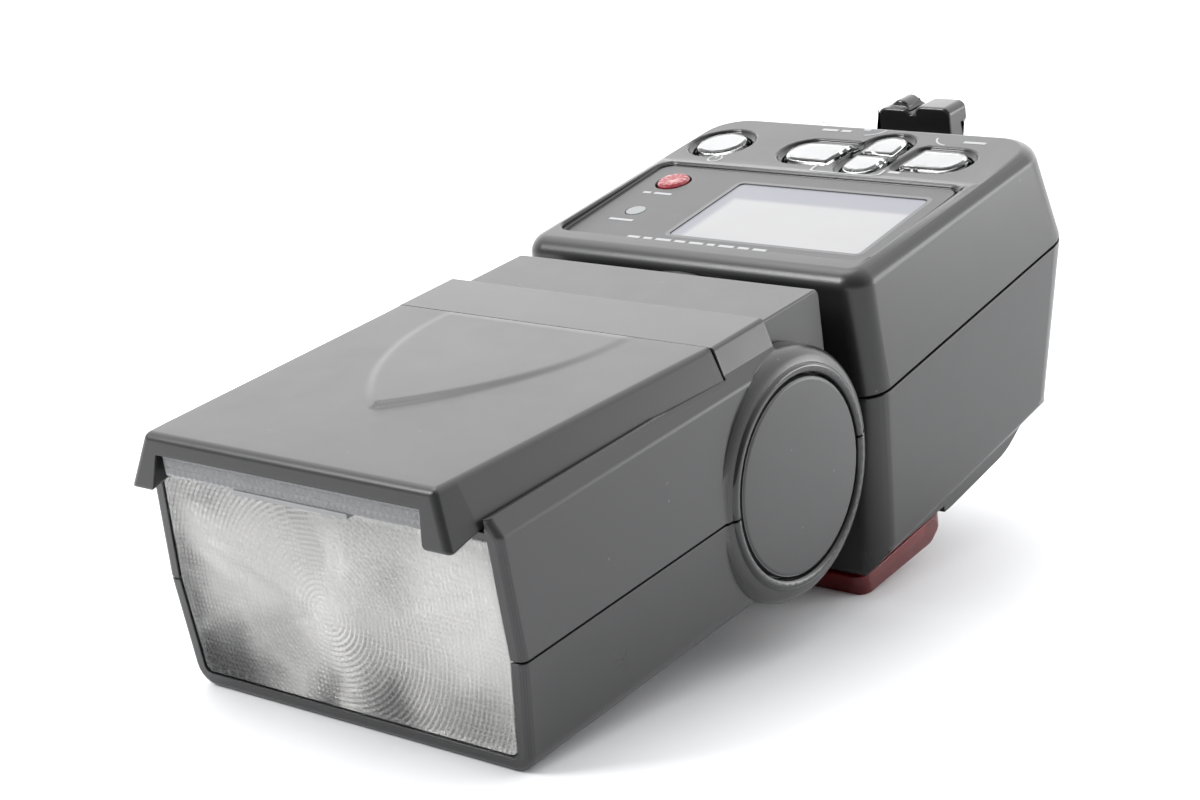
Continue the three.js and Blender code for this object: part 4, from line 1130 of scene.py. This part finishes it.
# Each light's place, the point it aims at, its width and height, and its power in watts.
LIGHTS = {
    "overhead": ((-0.25, 0.0, 0.8), (0, 0, 0), (0.5, 0.5), 2.5),
    "front": ((-0.4, -0.6, 0.55), (0, 0, 0), (0.3, 0.3), 5.5),
    "side": ((0.3, 0.36, 0.08), (0.03, 0.06, 0.03), (0.2, 0.12), 0.4),
}
# The tent's brightest direction, how closely a ray must agree with it to be at its dimmest and at its
# brightest, those two strengths, and the strength of the plain background that the camera sees.
TENT = {
    "bright_way": Vector((-0.4, 1.0, 0.4)).normalized(),
    "agreement": (-0.6, 0.9),
    "strength": (0.25, 2.5),
    "background": 1.0,
}


def aimed(place, direction, roll=0.0):
    """The placement of a camera or a light that looks in a direction, rolled by some degrees."""
    look = direction.to_track_quat("-Z", "Y").to_matrix().to_4x4()
    return Matrix.Translation(place) @ look @ Matrix.Rotation(math.radians(roll), 4, "Z")


def add_camera():
    data = bpy.data.cameras.new("camera")
    data.lens = CAMERA["lens"]
    data.sensor_width = CAMERA["sensor"]
    data.clip_start = CAMERA["near_clip"]
    camera = bpy.data.objects.new("camera", data)
    bpy.context.scene.collection.objects.link(camera)
    azimuth = math.radians(CAMERA["azimuth"])
    elevation = math.radians(CAMERA["elevation"])
    level = math.cos(elevation)
    back = Vector((math.sin(azimuth) * level, -math.cos(azimuth) * level, math.sin(elevation)))
    camera.matrix_world = aimed(TARGET + back * CAMERA["distance"], -back, CAMERA["roll"])
    bpy.context.scene.camera = camera


def add_floor():
    mesh = bpy.data.meshes.new("floor")
    corners = [(-1, -1), (1, -1), (1, 1), (-1, 1)]
    points = [(x * FLOOR_HALF, y * FLOOR_HALF, 0) for x, y in corners]
    mesh.from_pydata(points, [], [(0, 1, 2, 3)])
    floor = bpy.data.objects.new("floor", mesh)
    bpy.context.scene.collection.objects.link(floor)
    mesh.materials.append(Recipe("floor").set(Base_Color=FLOOR_COLOUR, Roughness=0.6))


def add_light(name, place, aim, size, power):
    data = bpy.data.lights.new(name, "AREA")
    data.shape = "RECTANGLE"
    data.size, data.size_y = size
    data.energy = power
    light = bpy.data.objects.new(name, data)
    bpy.context.scene.collection.objects.link(light)
    light.matrix_world = aimed(place, Vector(aim) - Vector(place))


def add_world():
    """A light tent: bright behind and above the flash, and dimmer on the camera's side."""
    world = bpy.data.worlds.new("tent")
    world.use_nodes = True
    bpy.context.scene.world = world
    tree = world.node_tree
    background = tree.nodes["Background"]
    way = tree.nodes.new("ShaderNodeTexCoord").outputs["Generated"]
    dot = tree.nodes.new("ShaderNodeVectorMath")
    dot.operation = "DOT_PRODUCT"
    tree.links.new(way, dot.inputs[0])
    dot.inputs[1].default_value = TENT["bright_way"]
    span = tree.nodes.new("ShaderNodeMapRange")
    span.interpolation_type = "SMOOTHSTEP"
    for i, value in enumerate((*TENT["agreement"], *TENT["strength"]), start=1):
        span.inputs[i].default_value = value
    tree.links.new(dot.outputs["Value"], span.inputs[0])
    seen = tree.nodes.new("ShaderNodeLightPath").outputs["Is Camera Ray"]
    mix = tree.nodes.new("ShaderNodeMix")
    tree.links.new(seen, mix.inputs[0])
    tree.links.new(span.outputs[0], mix.inputs[2])
    mix.inputs[3].default_value = TENT["background"]
    tree.links.new(mix.outputs[0], background.inputs["Strength"])
    background.inputs["Color"].default_value = (1.0, 1.0, 1.0, 1)


add_camera()
add_floor()
add_world()
for light_name, light_settings in LIGHTS.items():
    add_light(light_name, *light_settings)
bpy.context.scene.view_settings.view_transform = "Standard"
